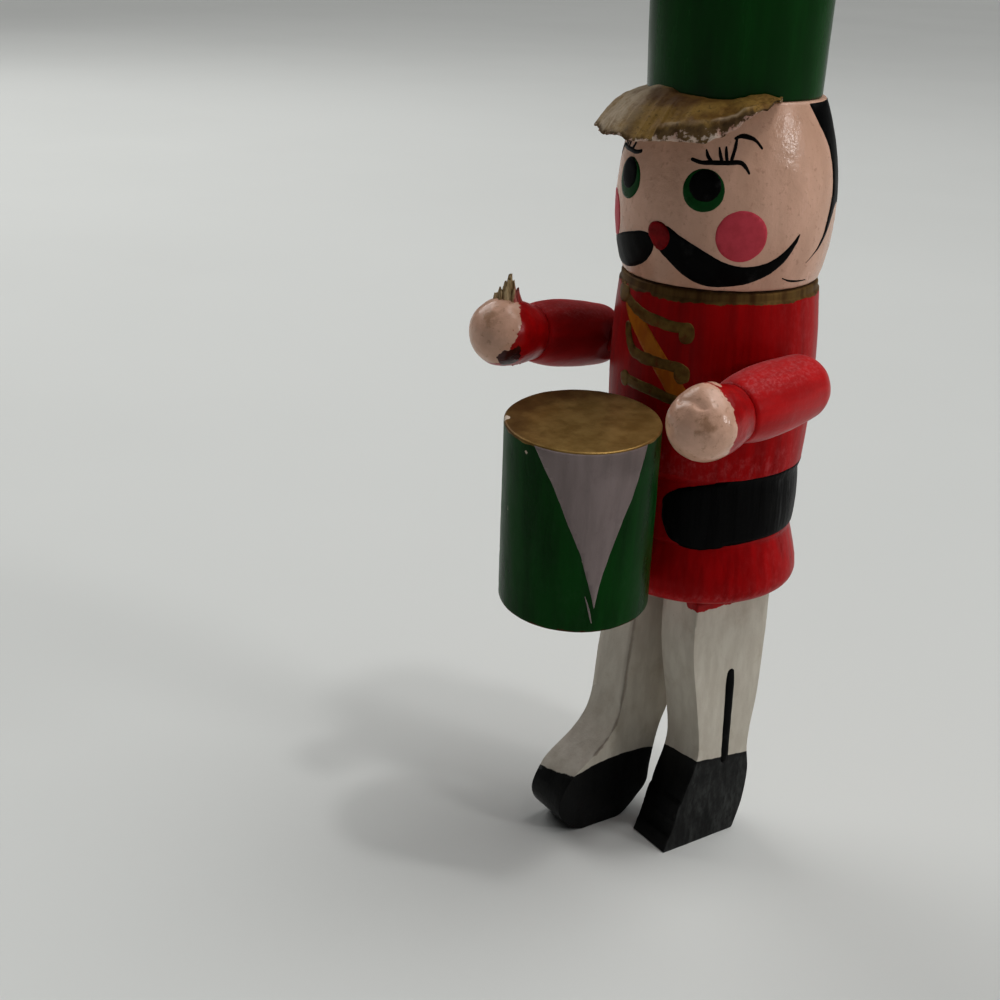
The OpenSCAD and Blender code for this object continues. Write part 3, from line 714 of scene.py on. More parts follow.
visorPlan = {  # lists by degrees from the front
    "from": -102, "to": 66, "cells": (190, 34), "thick": 0.42, "thinFrom": 0.82, "thinBy": 0.65, "rootR": 9.3,
    "root": [(-102, 91.0), (-70, 91.0), (-39, 91.2), (-19, 91.75), (-8, 91.7), (1, 91.2), (9, 91.1),
             (16, 91.05), (21, 90.9), (28, 90.9), (34, 90.95), (41, 91.2), (47, 91.5), (55, 91.6),
             (66, 91.2)],
    "reach": [(-102, 9.9), (-95, 11.2), (-80, 13.3), (-60, 14.6), (-41, 15.0), (-11, 14.8), (16, 14.8),
              (25, 14.8), (33, 14.4), (42, 13.6), (51, 12.7), (58, 11.9), (66, 9.9)],
    "edgeZ": [(-102, 91.1), (-95, 90.3), (-80, 88.6), (-60, 87.0), (-41, 86.9), (-31, 86.5), (-21, 86.8),
              (-11, 86.4), (5, 86.7), (16, 87.0), (25, 87.1), (31, 87.8), (37, 88.5), (42, 89.7), (51, 90.4),
              (58, 91.2), (66, 91.2)],
    "steep": [(-102, 1.3), (-10, 1.4), (10, 2.3), (24, 3.6), (36, 3.4), (48, 2.0), (66, 1.4)],
    "bulge": [(-102, 0.0), (-75, 0.4), (-50, 0.6), (-30, 0.5), (-14, 0.15), (4, -0.35), (18, -0.55),
              (30, -0.3), (46, 0.05), (66, 0.0)],
    "tears": [(0.16, 0.3, 0.3), (0.75, 2.1, 0.24)],  # rate by degree, row, depth
    "creases": [(0.55, 0.35), (1.3, 0.24), (3.1, 0.14), (7, 0.07)], "creaseStretch": (0.075, 2.2),
    "tornFrom": (-4, 10), "tornTo": (40, 50), "lipAt": 0.8, "lipWide": 0.07, "lipHigh": 0.22,
    "edgeThick": 0.1, "suedeEnd": (-30, -2), "lipRub": 0.5, "lipRubWide": 0.05,
    "valleyShadeR": 0.75, "valleyShadeAt": (0.28, 2), "valleyShadeSpan": (0.3125, 22),
    "underTorn": (0.85, 3), "underSound": (0.96, 4), "tearEdge": (1.0, 3, -0.12), "tearMore": 0.2,
}


def buildVisor():
    plan = visorPlan
    clearSelection()
    across, out = plan["cells"]
    bpy.ops.mesh.primitive_grid_add(x_subdivisions=across, y_subdivisions=out, size=1)
    visor = named("tornVisor")
    spots = []

    def place(co):
        angle = plan["from"] + (plan["to"] - plan["from"]) * (co.x + 0.5)
        t = co.y + 0.5
        spot = Vector((angle * plan["creaseStretch"][0], t * plan["creaseStretch"][1], 0))
        tear = sum(noise.noise(Vector((angle * rate, row, 5))) * deep for rate, row, deep in plan["tears"])
        reach = along(plan["reach"], angle) + tear
        r = plan["rootR"] + (reach - plan["rootR"]) * t
        rise = along(plan["root"], angle)
        drop = along(plan["edgeZ"], angle) - rise
        crease = sum(noise.noise(spot * rate) * deep for rate, deep in plan["creases"])
        z = rise + drop * t ** along(plan["steep"], angle)
        z += along(plan["bulge"], angle) * math.sin(math.pi * t ** 1.5) + crease * t
        torn = smoothStep(*plan["tornFrom"], angle) * (1 - smoothStep(*plan["tornTo"], angle))
        z += plan["lipHigh"] * (hump(t, plan["lipAt"], plan["lipWide"]) * torn)
        a = math.radians(angle)
        spots.append((t, angle, torn))
        return Vector((spindle.x + r * math.sin(a), spindle.y - r * math.cos(a), z))

    moveVertices(visor, place)
    thin = visor.vertex_groups.new(name="thin")
    for index, (t, angle, torn) in enumerate(spots):
        thin.add([index], 1 - plan["thinBy"] * smoothStep(plan["thinFrom"], 1, t), "REPLACE")

    def suede(t, angle, torn):  # rubbed pale on the far half and along the torn lip
        lip = plan["lipRub"] * hump(t, plan["lipAt"], plan["lipRubWide"])
        return 1 - smoothStep(*plan["suedeEnd"], angle) + lip * torn

    # painted shade: darker in the valley next to the hat
    def valleyShade(t, angle, torn):
        atT, atAngle = plan["valleyShadeAt"]
        spanT, spanAngle = plan["valleyShadeSpan"]
        return plan["valleyShadeR"] - math.hypot((t - atT) / spanT, (angle - atAngle) / spanAngle)

    # painted shade: a dark band along the outer edge, wider where the lip is torn
    def under(t, angle, torn):
        start, rate = plan["underTorn"] if torn > 0.5 else plan["underSound"]
        return (t - start) * rate

    def tear(t, angle, torn):
        start, rate, least = plan["tearEdge"]
        return (t - start) * rate + least + plan["tearMore"] * torn

    for measure in (suede, valleyShade, under, tear):
        field = visor.data.attributes.new(measure.__name__, "FLOAT", "POINT")
        for index, spot in enumerate(spots):
            field.data[index].value = measure(*spot)
    applyModifier(visor, "SOLIDIFY", thickness=plan["thick"], offset=1, vertex_group="thin",
                  thickness_vertex_group=plan["edgeThick"])
    editAll(visor)
    bpy.ops.mesh.normals_make_consistent(inside=False)
    bpy.ops.object.mode_set(mode="OBJECT")
    keep(visor, "head", visorBronze, "bronze_visor", "hat_visor", sharp=60)


buildVisor()

eyeLow, eyeHigh = nodeBox("hanger_eye")
eyePlan = {"wire": 0.6, "gap": 24, "rings": 59, "stem": 0.1, "wireSides": 6}


def buildHangerEye():
    plan = eyePlan
    wideX, wideY = eyeHigh.x - eyeLow.x, eyeHigh.y - eyeLow.y
    across = max(wideX, wideY)
    ringR = across / 2 - plan["wire"]
    flat = Vector((1, 0, 0)) if wideX > wideY else Vector((0, 1, 0))
    centre = Vector((spindle.x, spindle.y, eyeHigh.z - across / 2))
    path = [Vector((spindle.x, spindle.y, z)) for z in (eyeLow.z, hatHigh.z + plan["stem"])]
    for step in range(plan["rings"] + 1):
        a = math.radians(-90 + (360 - plan["gap"]) * step / plan["rings"])
        path.append(centre + flat * (ringR * math.cos(a)) + Vector((0, 0, ringR * math.sin(a))))
    workOn(drawnOut("hangerEye", path))
    bpy.ops.object.convert(target="CURVE")
    wire = bpy.context.active_object
    wire.data.bevel_depth = plan["wire"]
    wire.data.bevel_resolution = plan["wireSides"]
    wire.data.use_fill_caps = True
    bpy.ops.object.convert(target="MESH")
    wire = named("hangerEye")
    mergeAndFace(wire)
    keep(wire, "head", wireBrass, "eye_wire", "hanger_eye", sharp=50)


buildHangerEye()
print("hat, visor and hanging eye made")


# turned coat with belt and frogging

coatLow, coatHigh = nodeBox("coat")
coatPlan = {
    "skirtR": 11.9, "skirtUp": 7.4, "skirtEdge": 2.0, "skirtRise": 0.6, "waistR": 10.75,
    "beltUp": 15.4, "beltR": 11.1, "beltEndR": 10.85, "beltSeam": 0.15,
    "chestR": 11.8, "chestEndR": 11.3, "chestUp": 35.9, "chestSeam": 0.2, "collarR": 11.1,
    "collarSeam": 69.75, "collarFoot": [(0.05, 0.12), (0.0, 0.3)],
    "collarTop": [(0.0, 0.3), (0.08, 0.1), (0.3, 0.0)], "flats": (5, 8.5), "topFlats": (8, 4),
    "skirtRings": 11, "skirtCurve": 1.1, "beltRings": 12, "chestRings": 32,
    "dryAll": 0.15, "dryBelt": (1.6, 1.5), "dryFoot": (0.9, 0.9), "dryFootFar": 0.9,
    "dryAndSheenSide": (55, 115), "dryAndSheenSideFar": 0.45, "steps": 240, "skins": [(5.0, 0.08), (1.4, 0.03)],
}


def coatProfile():
    plan = coatPlan
    low, high = coatLow.z, coatHigh.z
    edge = plan["skirtEdge"]
    belt, chest, collar = low + plan["skirtUp"], low + plan["beltUp"], low + plan["chestUp"]
    line = [(0, low)] + [(r, low) for r in plan["flats"]]
    line += roundOver(plan["skirtR"] - edge, low + edge, edge, -90, 0, 12)
    foot = edge + plan["skirtRise"]
    for step in range(1, plan["skirtRings"] + 1):
        t = step / plan["skirtRings"]
        r = plan["skirtR"] + (plan["waistR"] - plan["skirtR"]) * t ** plan["skirtCurve"]
        line.append((r, low + foot + (belt - low - foot) * t))
    mid = (belt + chest) / 2
    rings = plan["beltRings"]
    line += swell(plan["beltR"], mid, plan["beltEndR"], belt + plan["beltSeam"], rings)[::-1]
    line += swell(plan["beltR"], mid, plan["beltEndR"], chest - plan["beltSeam"], rings)[1:]
    mid = (chest + collar) / 2
    rings = plan["chestRings"]
    line += swell(plan["chestR"], mid, plan["chestEndR"], chest + plan["chestSeam"], rings)[::-1]
    line += swell(plan["chestR"], mid, plan["chestEndR"], collar, rings)[1:]
    line += [(plan["collarR"] + out, collar + up) for out, up in plan["collarFoot"]]
    line += [(plan["collarR"] - inward, high - under) for inward, under in plan["collarTop"]]
    return line + [(r, high) for r in plan["topFlats"]] + [(0, high)]


coatLine = coatProfile()
coatPiece = turned("turnedCoat", coatLine, coatPlan["steps"])
putAt(coatPiece, Matrix.Translation(spindle))
unevenSkin(coatPiece, coatPlan["skins"])
coatWrap = onTurned(coatLine, coatPlan["chestR"], spindle)


def coatDryAndSheen(co):  # where the red is brushed thin over the belt and the skirt's foot, with dust and a painted pale sheen on the flanks
    plan = coatPlan
    up, wide = plan["dryBelt"]
    overBelt = hump(co.z, coatLow.z + plan["beltUp"] + up, wide)
    up, wide = plan["dryFoot"]
    foot = hump(co.z, coatLow.z + up, wide)
    side = smoothStep(*plan["dryAndSheenSide"], abs(fromFront(co))) * plan["dryAndSheenSideFar"]
    return min(1, plan["dryAll"] + overBelt + foot * plan["dryFootFar"] + side)


storeField(coatPiece, "dryAndSheen", coatDryAndSheen)
storeField(coatPiece, "collar", lambda co: co.z - coatPlan["collarSeam"])
keep(coatPiece, "figure", coatRed, "red_enamel", "coat")

braidPlan = {  # marks by degrees from the front and height
    "bars": [[(-31, 69.6), (-24, 68.7), (-14, 67.9), (-3.7, 67.3), (6, 67.05), (13, 66.9), (20.5, 66.9)],
             [(-19.5, 65.6), (-17.6, 64.4), (-12.8, 63.2), (-6, 62.75), (2, 62.65), (12.8, 62.55),
              (20, 62.4)],
             [(-18, 59.8), (-10, 59.5), (-2, 59.4), (6, 59.15), (12, 58.9), (18, 58.7)]],
    "wide": 1.35, "wideAlong": [(0, 0.9), (0.5, 1), (1, 0.85)], "thick": 0.045, "thicker": 0.004,
    "wobble": 0.14,
    "knobs": [(21.0, 66.35, 0.95, 1.15), (20.6, 61.75, 0.95, 1.1), (-18.6, 59.6, 0.9, 0.95),
              (-29.5, 69.0, 1.7, 1.05)],
    "knobThick": 0.07, "knobWobble": 0.16, "knobCell": 0.3, "knobPoints": 24,
    "sash": [(-27, 69.4), (-20, 67.9), (-10, 66.2), (0, 64.2), (8, 62.4), (14, 60.9), (19, 59.4)],
    "sashWide": [(0, 1.2), (0.3, 2.25), (1, 2.25)], "sashThick": 0.02,
}
beltPlan = {
    "low": [(13.4, 45.9), (13.8, 44.4), (16, 42.9), (20.5, 41.8), (28, 41.2), (38, 41.05), (50, 41.3),
            (64, 41.65), (90, 41.95), (130, 42.0), (180, 42.0)],
    "high": [(13.5, 46.5), (15.5, 47.3), (20, 48.0), (27, 48.5), (36, 48.9), (52, 49.4), (74, 49.75),
             (100, 49.8), (140, 49.7), (180, 49.6)],
    "thick": 0.09, "cell": 0.7, "wobble": 0.1, "sheenFrom": (70, 110),
}


def flatOnCoat(marks):
    return flatOn(coatPlan["chestR"], marks)


def coatFilm(name, outline, thick, cell=0.4, wobble=0.04):
    return paintFilm(name, outline, coatWrap, coatPiece, thick, cell, wobble)


def paintBraid():
    plan = braidPlan
    sash = strokeOutline(throughPoints(flatOnCoat(plan["sash"]), 5), plan["sashWide"])
    keep(coatFilm("ochreSash", sash, plan["sashThick"]), "figure", sashOchre, "red_enamel")
    widths = [(t, plan["wide"] * share) for t, share in plan["wideAlong"]]
    braid = []
    for number, bar in enumerate(plan["bars"]):
        stroke = strokeOutline(throughPoints(flatOnCoat(bar), 5), widths)
        thick = plan["thick"] + plan["thicker"] * number
        braid.append(coatFilm(f"braidBar{number}", stroke, thick, wobble=plan["wobble"]))
    for number, (a, z, wide, tall) in enumerate(plan["knobs"]):
        knob = roundMark(flatOnCoat([(a, z)])[0], wide, tall, plan["knobPoints"])
        braid.append(coatFilm(f"braidKnob{number}", knob, plan["knobThick"], plan["knobCell"],
                              plan["knobWobble"]))
    keep(joined("frogging", braid), "figure", braidBronze, "red_enamel")


def paintBelt():
    plan = beltPlan
    low, high = plan["low"], plan["high"]
    around = low + [(360 - a, z) for a, z in low[-2::-1] + high] + high[-2::-1]
    ring = throughPoints(flatOnCoat(around), 4, closed=True)
    belt = coatFilm("blackBelt", ring, plan["thick"], plan["cell"], plan["wobble"])
    # painted sheen: paler streaks on the belt's flanks
    storeField(belt, "flankSheen", lambda co: smoothStep(*plan["sheenFrom"], abs(fromFront(co))))
    keep(belt, "figure", beltBlack, "red_enamel")


paintBraid()
paintBelt()
print("coat painted")


# arms, hands and the broken drumsticks

armPlan = {
    "out": 14.5, "ahead": 4.4, "up": 61.3, "shoulderR": 3.7, "sleeveR": 3.95, "sleeveMid": 5.8,
    "cuffR": 3.2, "cuffAt": 11.5, "handR": 3.85, "handAt": 16.2, "clear": 0.2, "seatFrom": 1.5,
    "swingStep": 6, "shoulderRings": 18, "sleeveRings": (16, 18), "cuffEase": (0.1, 0.35),
    "cuffRound": [(0.05, 0.12), (0.25, 0.0)], "cuffFlat": 1.5,
    "sleeveSteps": 144, "sleeveSkins": [(3.0, 0.1), (1.2, 0.03)],
    "dryAll": 0.15, "dryAndSheenTop": (1.6, 3.6), "dryAndSheenTopFar": 0.9, "dryAndSheenUnder": (2.4, 3.8), "dryAndSheenUnderFar": 0.8,
    "handSunk": 0.3, "handRound": [(0.3, -0.15), (0.05, 0.15)], "handEase": 0.5, "handRings": (20, 28),
    "handSteps": 160, "handSkins": [(4.5, 0.22), (1.3, 0.11)],
    "bumpWide": 2.7, "bumpAhead": 0.2, "notchAt": 2.3, "notchWide": 0.35, "notchDeep": 0.5,
    "Left": {"turn": 1, "tilt": -1.8, "swing": (-53, 61), "body": "left_arm", "prefix": "left",
             "cuffPaint": 4.3, "cuffBow": 0.0, "wornAt": (2.24, 1.1, 19.0), "worn": 0.75,
             "bareAt": (0, 0, 0), "bare": -9, "tip": 1.0, "bump": 0.45},
    "Right": {"turn": -1, "tilt": 10.6, "swing": (-65, 49), "body": "right_arm", "prefix": "right",
              "cuffPaint": 6.1, "cuffBow": 0.13, "wornAt": (0.6, 1.6, 18.8), "worn": 0.9,
              "bareAt": (2.8, -2.2, 17.2), "bare": 1.5, "tip": 0.9, "bump": 0.0},
}


def armMatrix(side, swing=0):
    tilt = math.radians(side["tilt"] + swing)
    at = Vector((spindle.x + side["turn"] * armPlan["out"], spindle.y - armPlan["ahead"], armPlan["up"]))
    reach = Vector((0, -math.cos(tilt), math.sin(tilt)))
    over = Vector((0, math.sin(tilt), math.cos(tilt)))
    turn = Matrix((Vector((1, 0, 0)), over, reach)).transposed().to_4x4()
    return Matrix.Translation(at) @ turn


coatTenths = int((coatHigh.z - coatLow.z) * 10)
coatRadius = [radiusAt(coatLine, coatLow.z + step / 10) for step in range(1, coatTenths)]


def buildSleeve(side, label):
    plan = armPlan
    r, end = plan["cuffR"], plan["cuffAt"]
    lowRings, highRings = plan["sleeveRings"]
    wider, shorter = plan["cuffEase"]
    line = roundOver(0, 0, plan["shoulderR"], -90, 0, plan["shoulderRings"])
    line += swell(plan["sleeveR"], plan["sleeveMid"], plan["shoulderR"], 0, lowRings)[::-1][1:]
    line += swell(plan["sleeveR"], plan["sleeveMid"], r + wider, end - shorter, highRings)[1:]
    line += [(r - inward, end - back) for inward, back in plan["cuffRound"]]
    line += [(plan["cuffFlat"], end), (0, end)]
    line[0] = (0, line[0][1])
    sleeve = turned("sleeve" + label, line, plan["sleeveSteps"])
    unevenSkin(sleeve, plan["sleeveSkins"])
    lowest, highest = side["swing"]
    turns = [armMatrix(side, swing) for swing in range(lowest, highest + 1, plan["swingStep"])]

    def seated(co):  # whittled away only where the coat is passed on the arm's way
        inward = -co.x * side["turn"]
        if inward < plan["seatFrom"]:
            return co
        nearest = 0
        for turn in turns:
            at = turn @ co - spindle
            step = min(max(round((at.z - coatLow.z) * 10), 0), len(coatRadius) - 1)
            wide = coatRadius[step] + plan["clear"]
            nearest = max(nearest, math.sqrt(max(wide * wide - at.y * at.y, 0)))
        limit = plan["out"] - nearest
        return Vector((-limit * side["turn"], co.y, co.z)) if inward > limit else co

    moveVertices(sleeve, seated)

    def dryAndSheen(co):  # rubbed dust with a painted pale sheen and highlight along the top and the underside
        high = smoothStep(*plan["dryAndSheenTop"], co.y) * plan["dryAndSheenTopFar"]
        low = smoothStep(*plan["dryAndSheenUnder"], -co.y) * plan["dryAndSheenUnderFar"]
        return min(1, high + low + plan["dryAll"])

    storeField(sleeve, "dryAndSheen", dryAndSheen)
    putAt(sleeve, armMatrix(side))
    return sleeve


def buildHand(side, label):
    plan = armPlan
    r, start, middle = plan["cuffR"], plan["cuffAt"], plan["handAt"]
    lowRings, highRings = plan["handRings"]
    line = [(at, start - plan["handSunk"]) for at in (0, plan["cuffFlat"])]
    line += [(r - inward, start + up) for inward, up in plan["handRound"]]
    line += swell(plan["handR"], middle, r, start + plan["handEase"], lowRings)[::-1]
    line += roundOver(0, middle, plan["handR"], 0, 90, highRings)[1:]
    line[-1] = (0, line[-1][1])
    hand = turned("hand" + label, line, plan["handSteps"])
    unevenSkin(hand, plan["handSkins"])

    def pinched(co):  # blunter tip, and a low rise over the stick that was painted over
        z = middle + (co.z - middle) * side["tip"] if co.z > middle else co.z
        near = math.hypot(co.x, co.z - middle - plan["bumpAhead"]) / plan["bumpWide"]
        if co.y < 0 or near > 1:
            return Vector((co.x, co.y, z))
        notch = plan["notchDeep"] * hump(co.z, middle + plan["notchAt"], plan["notchWide"])
        return Vector((co.x, co.y + side["bump"] * ((1 - near * near) ** 2 - notch), z))

    moveVertices(hand, pinched)
    cuffEnd = start + side["cuffPaint"]
    storeField(hand, "cuff", lambda co: cuffEnd - side["cuffBow"] * max(co.y, 0) ** 2 - co.z)
    storeField(hand, "worn", lambda co: side["worn"] - (co - Vector(side["wornAt"])).length)
    storeField(hand, "bare", lambda co: side["bare"] - (co - Vector(side["bareAt"])).length)
    putAt(hand, armMatrix(side))
    return hand


stubPlan = {
    "filled": 0.3, "wall": 0.8, "domeTurns": (0.3, 0.6, 0.9, 1.2), "leftSteps": 64,
    "leftSkins": [(1.5, 0.15)], "unpainted": -5.0,
    "tall": 2.8, "sides": 6, "topShare": 0.6, "cuts": 5, "pointFrom": 0.3, "pointBy": 0.78,
    "shake": 0.24, "shakeRate": 1.9, "shakeApart": 3.1, "shakeUp": 0.9,
    "redSide": (0.71, 0.7, -0.12), "redFrom": 0.6,
    # direction round the stick, how far out, height over the hand, thickness
    "slivers": [(40, 0.1, 1.0, 0.8), (45, 0.4, 0.74, 0.8), (50, 0.75, 0.46, 0.7), (225, 0.2, 0.72, 0.8),
                (225, 0.55, 0.46, 0.75), (225, 0.9, 0.24, 0.6), (330, 0.4, 0.82, 0.7), (300, 0.55, 0.58, 0.7),
                (270, 0.75, 0.36, 0.62), (250, 0.6, 0.3, 0.7), (350, 0.75, 0.5, 0.65), (15, 0.85, 0.36, 0.6),
                (90, 0.5, 0.6, 0.7), (130, 0.6, 0.42, 0.7), (165, 0.8, 0.26, 0.62)],
}


def buildLeftStub():  # the stick is broken off short and painted over
    plan = stubPlan
    low, high = nodeBox("left_stick_stub")
    middle = (low + high) / 2
    r = (high.x - low.x) / 2
    top = high.z - low.z - plan["filled"]  # the paint has filled the step round it
    wall = plan["wall"]
    line = [(0, 0), (r, 0), (r, top * wall)]
    line += [(r * math.cos(a), top * (wall + (1 - wall) * math.sin(a))) for a in plan["domeTurns"]]
    stub = turned("stickStubLeft", line + [(0, top)], plan["leftSteps"])
    unevenSkin(stub, plan["leftSkins"])
    for name in ("cuff", "worn", "bare"):
        storeField(stub, name, lambda co: plan["unpainted"])
    putAt(stub, Matrix.Translation((middle.x, middle.y, low.z)))
    return stub


def buildSliver(number, at, root, height, thick):
    plan = stubPlan
    clearSelection()
    bpy.ops.mesh.primitive_cone_add(vertices=plan["sides"], radius1=thick, depth=height,
                                    radius2=thick * plan["topShare"],
                                    location=at + Vector((0, 0, height / 2)))
    sliver = named(f"sliver{number}")
    bpy.ops.object.transform_apply(location=True, rotation=True, scale=True)
    editAll(sliver)
    bpy.ops.mesh.subdivide(number_cuts=plan["cuts"])
    bpy.ops.object.mode_set(mode="OBJECT")

    def bent(co):
        apart = Vector((number * plan["shakeApart"], 0, 0))
        shake = noise.noise_vector(co * plan["shakeRate"] + apart) * plan["shake"]
        core = Vector((at.x, at.y, co.z))
        point = 1 - plan["pointBy"] * smoothStep(root + (height - root) * plan["pointFrom"], height, co.z)
        return core + (co - core) * point + Vector((shake.x, shake.y, shake.z * plan["shakeUp"]))

    moveVertices(sliver, bent)
    return sliver


def buildRightStub():  # the splintered end of the broken stick, one sliver after another
    plan = stubPlan
    low, high = nodeBox("right_stick_stub")
    middle = (low + high) / 2
    r = (high.x - low.x) / 2
    root = high.z - low.z - plan["tall"]  # height of the hand's skin over the stub's foot
    slivers = []
    for number, (angle, out, tall, thick) in enumerate(plan["slivers"]):
        a = math.radians(angle)
        at = Vector((out * r * math.cos(a), out * r * math.sin(a), 0))
        slivers.append(buildSliver(number, at, root, root + plan["tall"] * tall, thick))
    stub = joined("stickStubRight", slivers)
    foot = Vector((0, 0, root))
    storeField(stub, "reddened", lambda co: (co - foot).dot(Vector(plan["redSide"])) - plan["redFrom"])
    putAt(stub, Matrix.Translation((middle.x, middle.y, low.z)))
    return stub


for label in ("Left", "Right"):
    side = armPlan[label]
    sleeve = buildSleeve(side, label)
    keep(sleeve, side["body"], sleeveRed, "red_enamel", side["prefix"] + "_sleeve", sharp=50)
    keep(buildHand(side, label), side["body"], handFlesh, "flesh_enamel", side["prefix"] + "_hand")
keep(buildLeftStub(), "left_arm", handFlesh, "flesh_enamel", "left_stick_stub", sharp=60)
keep(buildRightStub(), "right_arm", splitWood, "bare_wood", "right_stick_stub", sharp=35)
print("arms and hands made")


# fretsawn legs with painted shoes

legPlan = {
    "turn": 12.5, "half": 6.1, "gap": 3.4, "edge": 0.5, "edgeTop": 33.9, "soleEdge": 1.0, "bevelSteps": 4,
    "skins": [(4.0, 0.14), (1.1, 0.05)], "levels": 40, "slice": 0.8, "sliceShift": 0.13, "slices": (-8, 26),
    "close": 0.002, "cutClose": 0.0001, "evenAngle": 1.0, "facesOn": 0.3, "facesOut": 0.9, "ground": 0.01,
    "boardCuts": 7, "toeStep": (6.15, 6.5), "toePush": 0.32, "toeRise": (0.8, 4.0),
    "toeBlunt": 0.6, "bluntUp": 1.9, "bluntFrom": (6.4, 8.9),
    "stripeLeft": [(0.3, 23.0), (0.42, 17.0), (0.6, 10.8)],
    "stripeRight": [(-3.4, 22.0), (-4.8, 15.0), (-5.7, 8.5)],
    "stripeWide": 1.3, "stripeAlong": [(0, 0.8), (0.12, 1), (0.6, 0.92), (1, 0.85)], "stripeThick": 0.06,
    "stripeOff": 0.2, "stripeCell": 0.5, "unpainted": -3.0,
    "leftShoeTop": 10.75, "leftShoeRise": 0.13, "leftShoeTilt": 0.09,
    "rightShoeTop": 9.3, "rightShoeBow": 0.021, "rightShoeMid": 8, "rightShoeTilt": 0.14,
    "scrapeUnder": 0.3, "scrapeSide": 7.4, "leftScrape": 0.4, "rightScrape": 0.6,
    "shadeCorner": [(10, 12.4), (12, 10.6), (14.1, 9.2), (19, 8.3), (27, 7.6), (34, 6.8)],
    "shadeFrom": 10, "shadeSide": -1.85, "shadeR": 0.3,
    "bleed": 1.5, "bleedAhead": (-1.6, -0.2), "bleedSide": (5.2, 6.2),
}
legTurn = math.radians(legPlan["turn"])
legSide = Vector((math.cos(legTurn), -math.sin(legTurn), 0))  # to the figure's left
legAhead = Vector((-math.sin(legTurn), -math.cos(legTurn), 0))


def inLeg(co):  # side, ahead and up of a point
    d = co - spindle
    return d.dot(legSide), d.dot(legAhead), co.z


def bevelEdges(leg, offset, wanted):  # wanted looks at the faces beside an edge and its heights
    editAll(leg)
    bpy.ops.mesh.select_all(action="DESELECT")
    bpy.ops.object.mode_set(mode="OBJECT")
    beside = {}
    for face in leg.data.polygons:
        for key in face.edge_keys:
            beside.setdefault(key, []).append(abs(face.normal.dot(legSide)))
    bpy.context.tool_settings.mesh_select_mode = (False, True, False)
    for edge in leg.data.edges:
        heights = [leg.data.vertices[index].co.z for index in edge.vertices]
        edge.select = wanted(beside[edge.key], heights)
    bpy.ops.object.mode_set(mode="EDIT")
    bpy.ops.mesh.bevel(offset=offset, segments=legPlan["bevelSteps"], affect="EDGES", clamp_overlap=True)
    bpy.ops.object.mode_set(mode="OBJECT")
    bpy.context.tool_settings.mesh_select_mode = (True, False, False)


def soleRim(beside, heights):
    return max(beside) < legPlan["facesOn"] and max(heights) < legPlan["ground"]


def boardRim(beside, heights):
    plan = legPlan
    corner = max(beside) > plan["facesOut"] and min(beside) < plan["facesOn"]
    return corner and max(heights) < plan["edgeTop"]


def buildLeg(node, name, turn, steps=()):
    plan = legPlan
    leg = bpy.data.objects.new(name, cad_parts[node].data.copy())
    leg.data.name = name
    bpy.context.collection.objects.link(leg)
    putAt(leg, Matrix.Scale(perMetre, 4))
    editAll(leg)
    bpy.ops.mesh.remove_doubles(threshold=plan["close"])
    bpy.ops.mesh.dissolve_limited(angle_limit=math.radians(plan["evenAngle"]))
    bevelEdges(leg, plan["soleEdge"], soleRim)
    bevelEdges(leg, plan["edge"], boardRim)
    levels = [coatLow.z * step / plan["levels"] for step in range(1, plan["levels"])]
    cuts = [((0, 0, z), (0, 0, 1)) for z in (*levels, *steps)]
    for step in range(*plan["slices"]):
        cuts.append((spindle + legAhead * (step * plan["slice"] + plan["sliceShift"]), legAhead))
    for step in range(1, plan["boardCuts"]):
        out = plan["gap"] / 2 + plan["half"] * step / plan["boardCuts"]
        cuts.append((spindle + legSide * turn * out, legSide))
    editAll(leg)
    for at, facing in cuts:
        bpy.ops.mesh.select_all(action="SELECT")
        bpy.ops.mesh.bisect(plane_co=at, plane_no=facing, threshold=plan["cutClose"])
    mergeAndFace(leg, plan["close"])
    unevenSkin(leg, plan["skins"])
    return leg


def stepToe(leg):  # a shallow ledge across the front of the shoe and a blunt toe under it
    plan = legPlan
    low, high = plan["toeStep"]
    for vertex in leg.data.vertices:
        z = vertex.co.z
        push = plan["toePush"] * smoothStep(high, low, z) * smoothStep(*plan["toeRise"], z)
        push *= max(0, vertex.normal.dot(legAhead))
        blunt = plan["toeBlunt"] * (1 - smoothStep(0, plan["bluntUp"], z))
        blunt *= smoothStep(*plan["bluntFrom"], inLeg(vertex.co)[1])
        vertex.co += legAhead * (push - blunt)


def leftShoe(co):
    plan = legPlan
    side, ahead, up = inLeg(co)
    tilt = plan["leftShoeTilt"] * (side - plan["gap"] / 2)
    return plan["leftShoeTop"] + plan["leftShoeRise"] * ahead + tilt - up


def rightShoe(co):
    plan = legPlan
    side, ahead, up = inLeg(co)
    bow = plan["rightShoeBow"] * (ahead - plan["rightShoeMid"]) ** 2
    return plan["rightShoeTop"] - bow + plan["rightShoeTilt"] * (side + plan["gap"] / 2) - up


def leftScrape(co):
    plan = legPlan
    return min(leftShoe(co) - plan["scrapeUnder"], inLeg(co)[0] - plan["scrapeSide"]) - plan["leftScrape"]


def rightScrape(co):
    plan = legPlan
    return min(rightShoe(co) - plan["scrapeUnder"], -plan["scrapeSide"] - inLeg(co)[0]) - plan["rightScrape"]


def cornerShadeLine(co):  # painted shade: a thin dark line along the front inner corner
    plan = legPlan
    side, ahead, up = inLeg(co)
    if up <= plan["shadeFrom"]:
        return plan["unpainted"]
    return plan["shadeR"] - math.hypot(side - plan["shadeSide"], ahead - along(plan["shadeCorner"], up))


def redBleed(co):  # red that ran down from the coat at the leg's outer front corner
    plan = legPlan
    side, ahead, up = inLeg(co)
    tall = plan["bleed"] * smoothStep(*plan["bleedAhead"], ahead) * smoothStep(*plan["bleedSide"], side)
    return tall - (coatLow.z - up)


def notPainted(co):
    return legPlan["unpainted"]


def finishLeg(leg, node, **fields):
    for name, measure in fields.items():
        storeField(leg, name, measure)
    keep(leg, "figure", legWhite, "white_enamel", node, sharp=50)


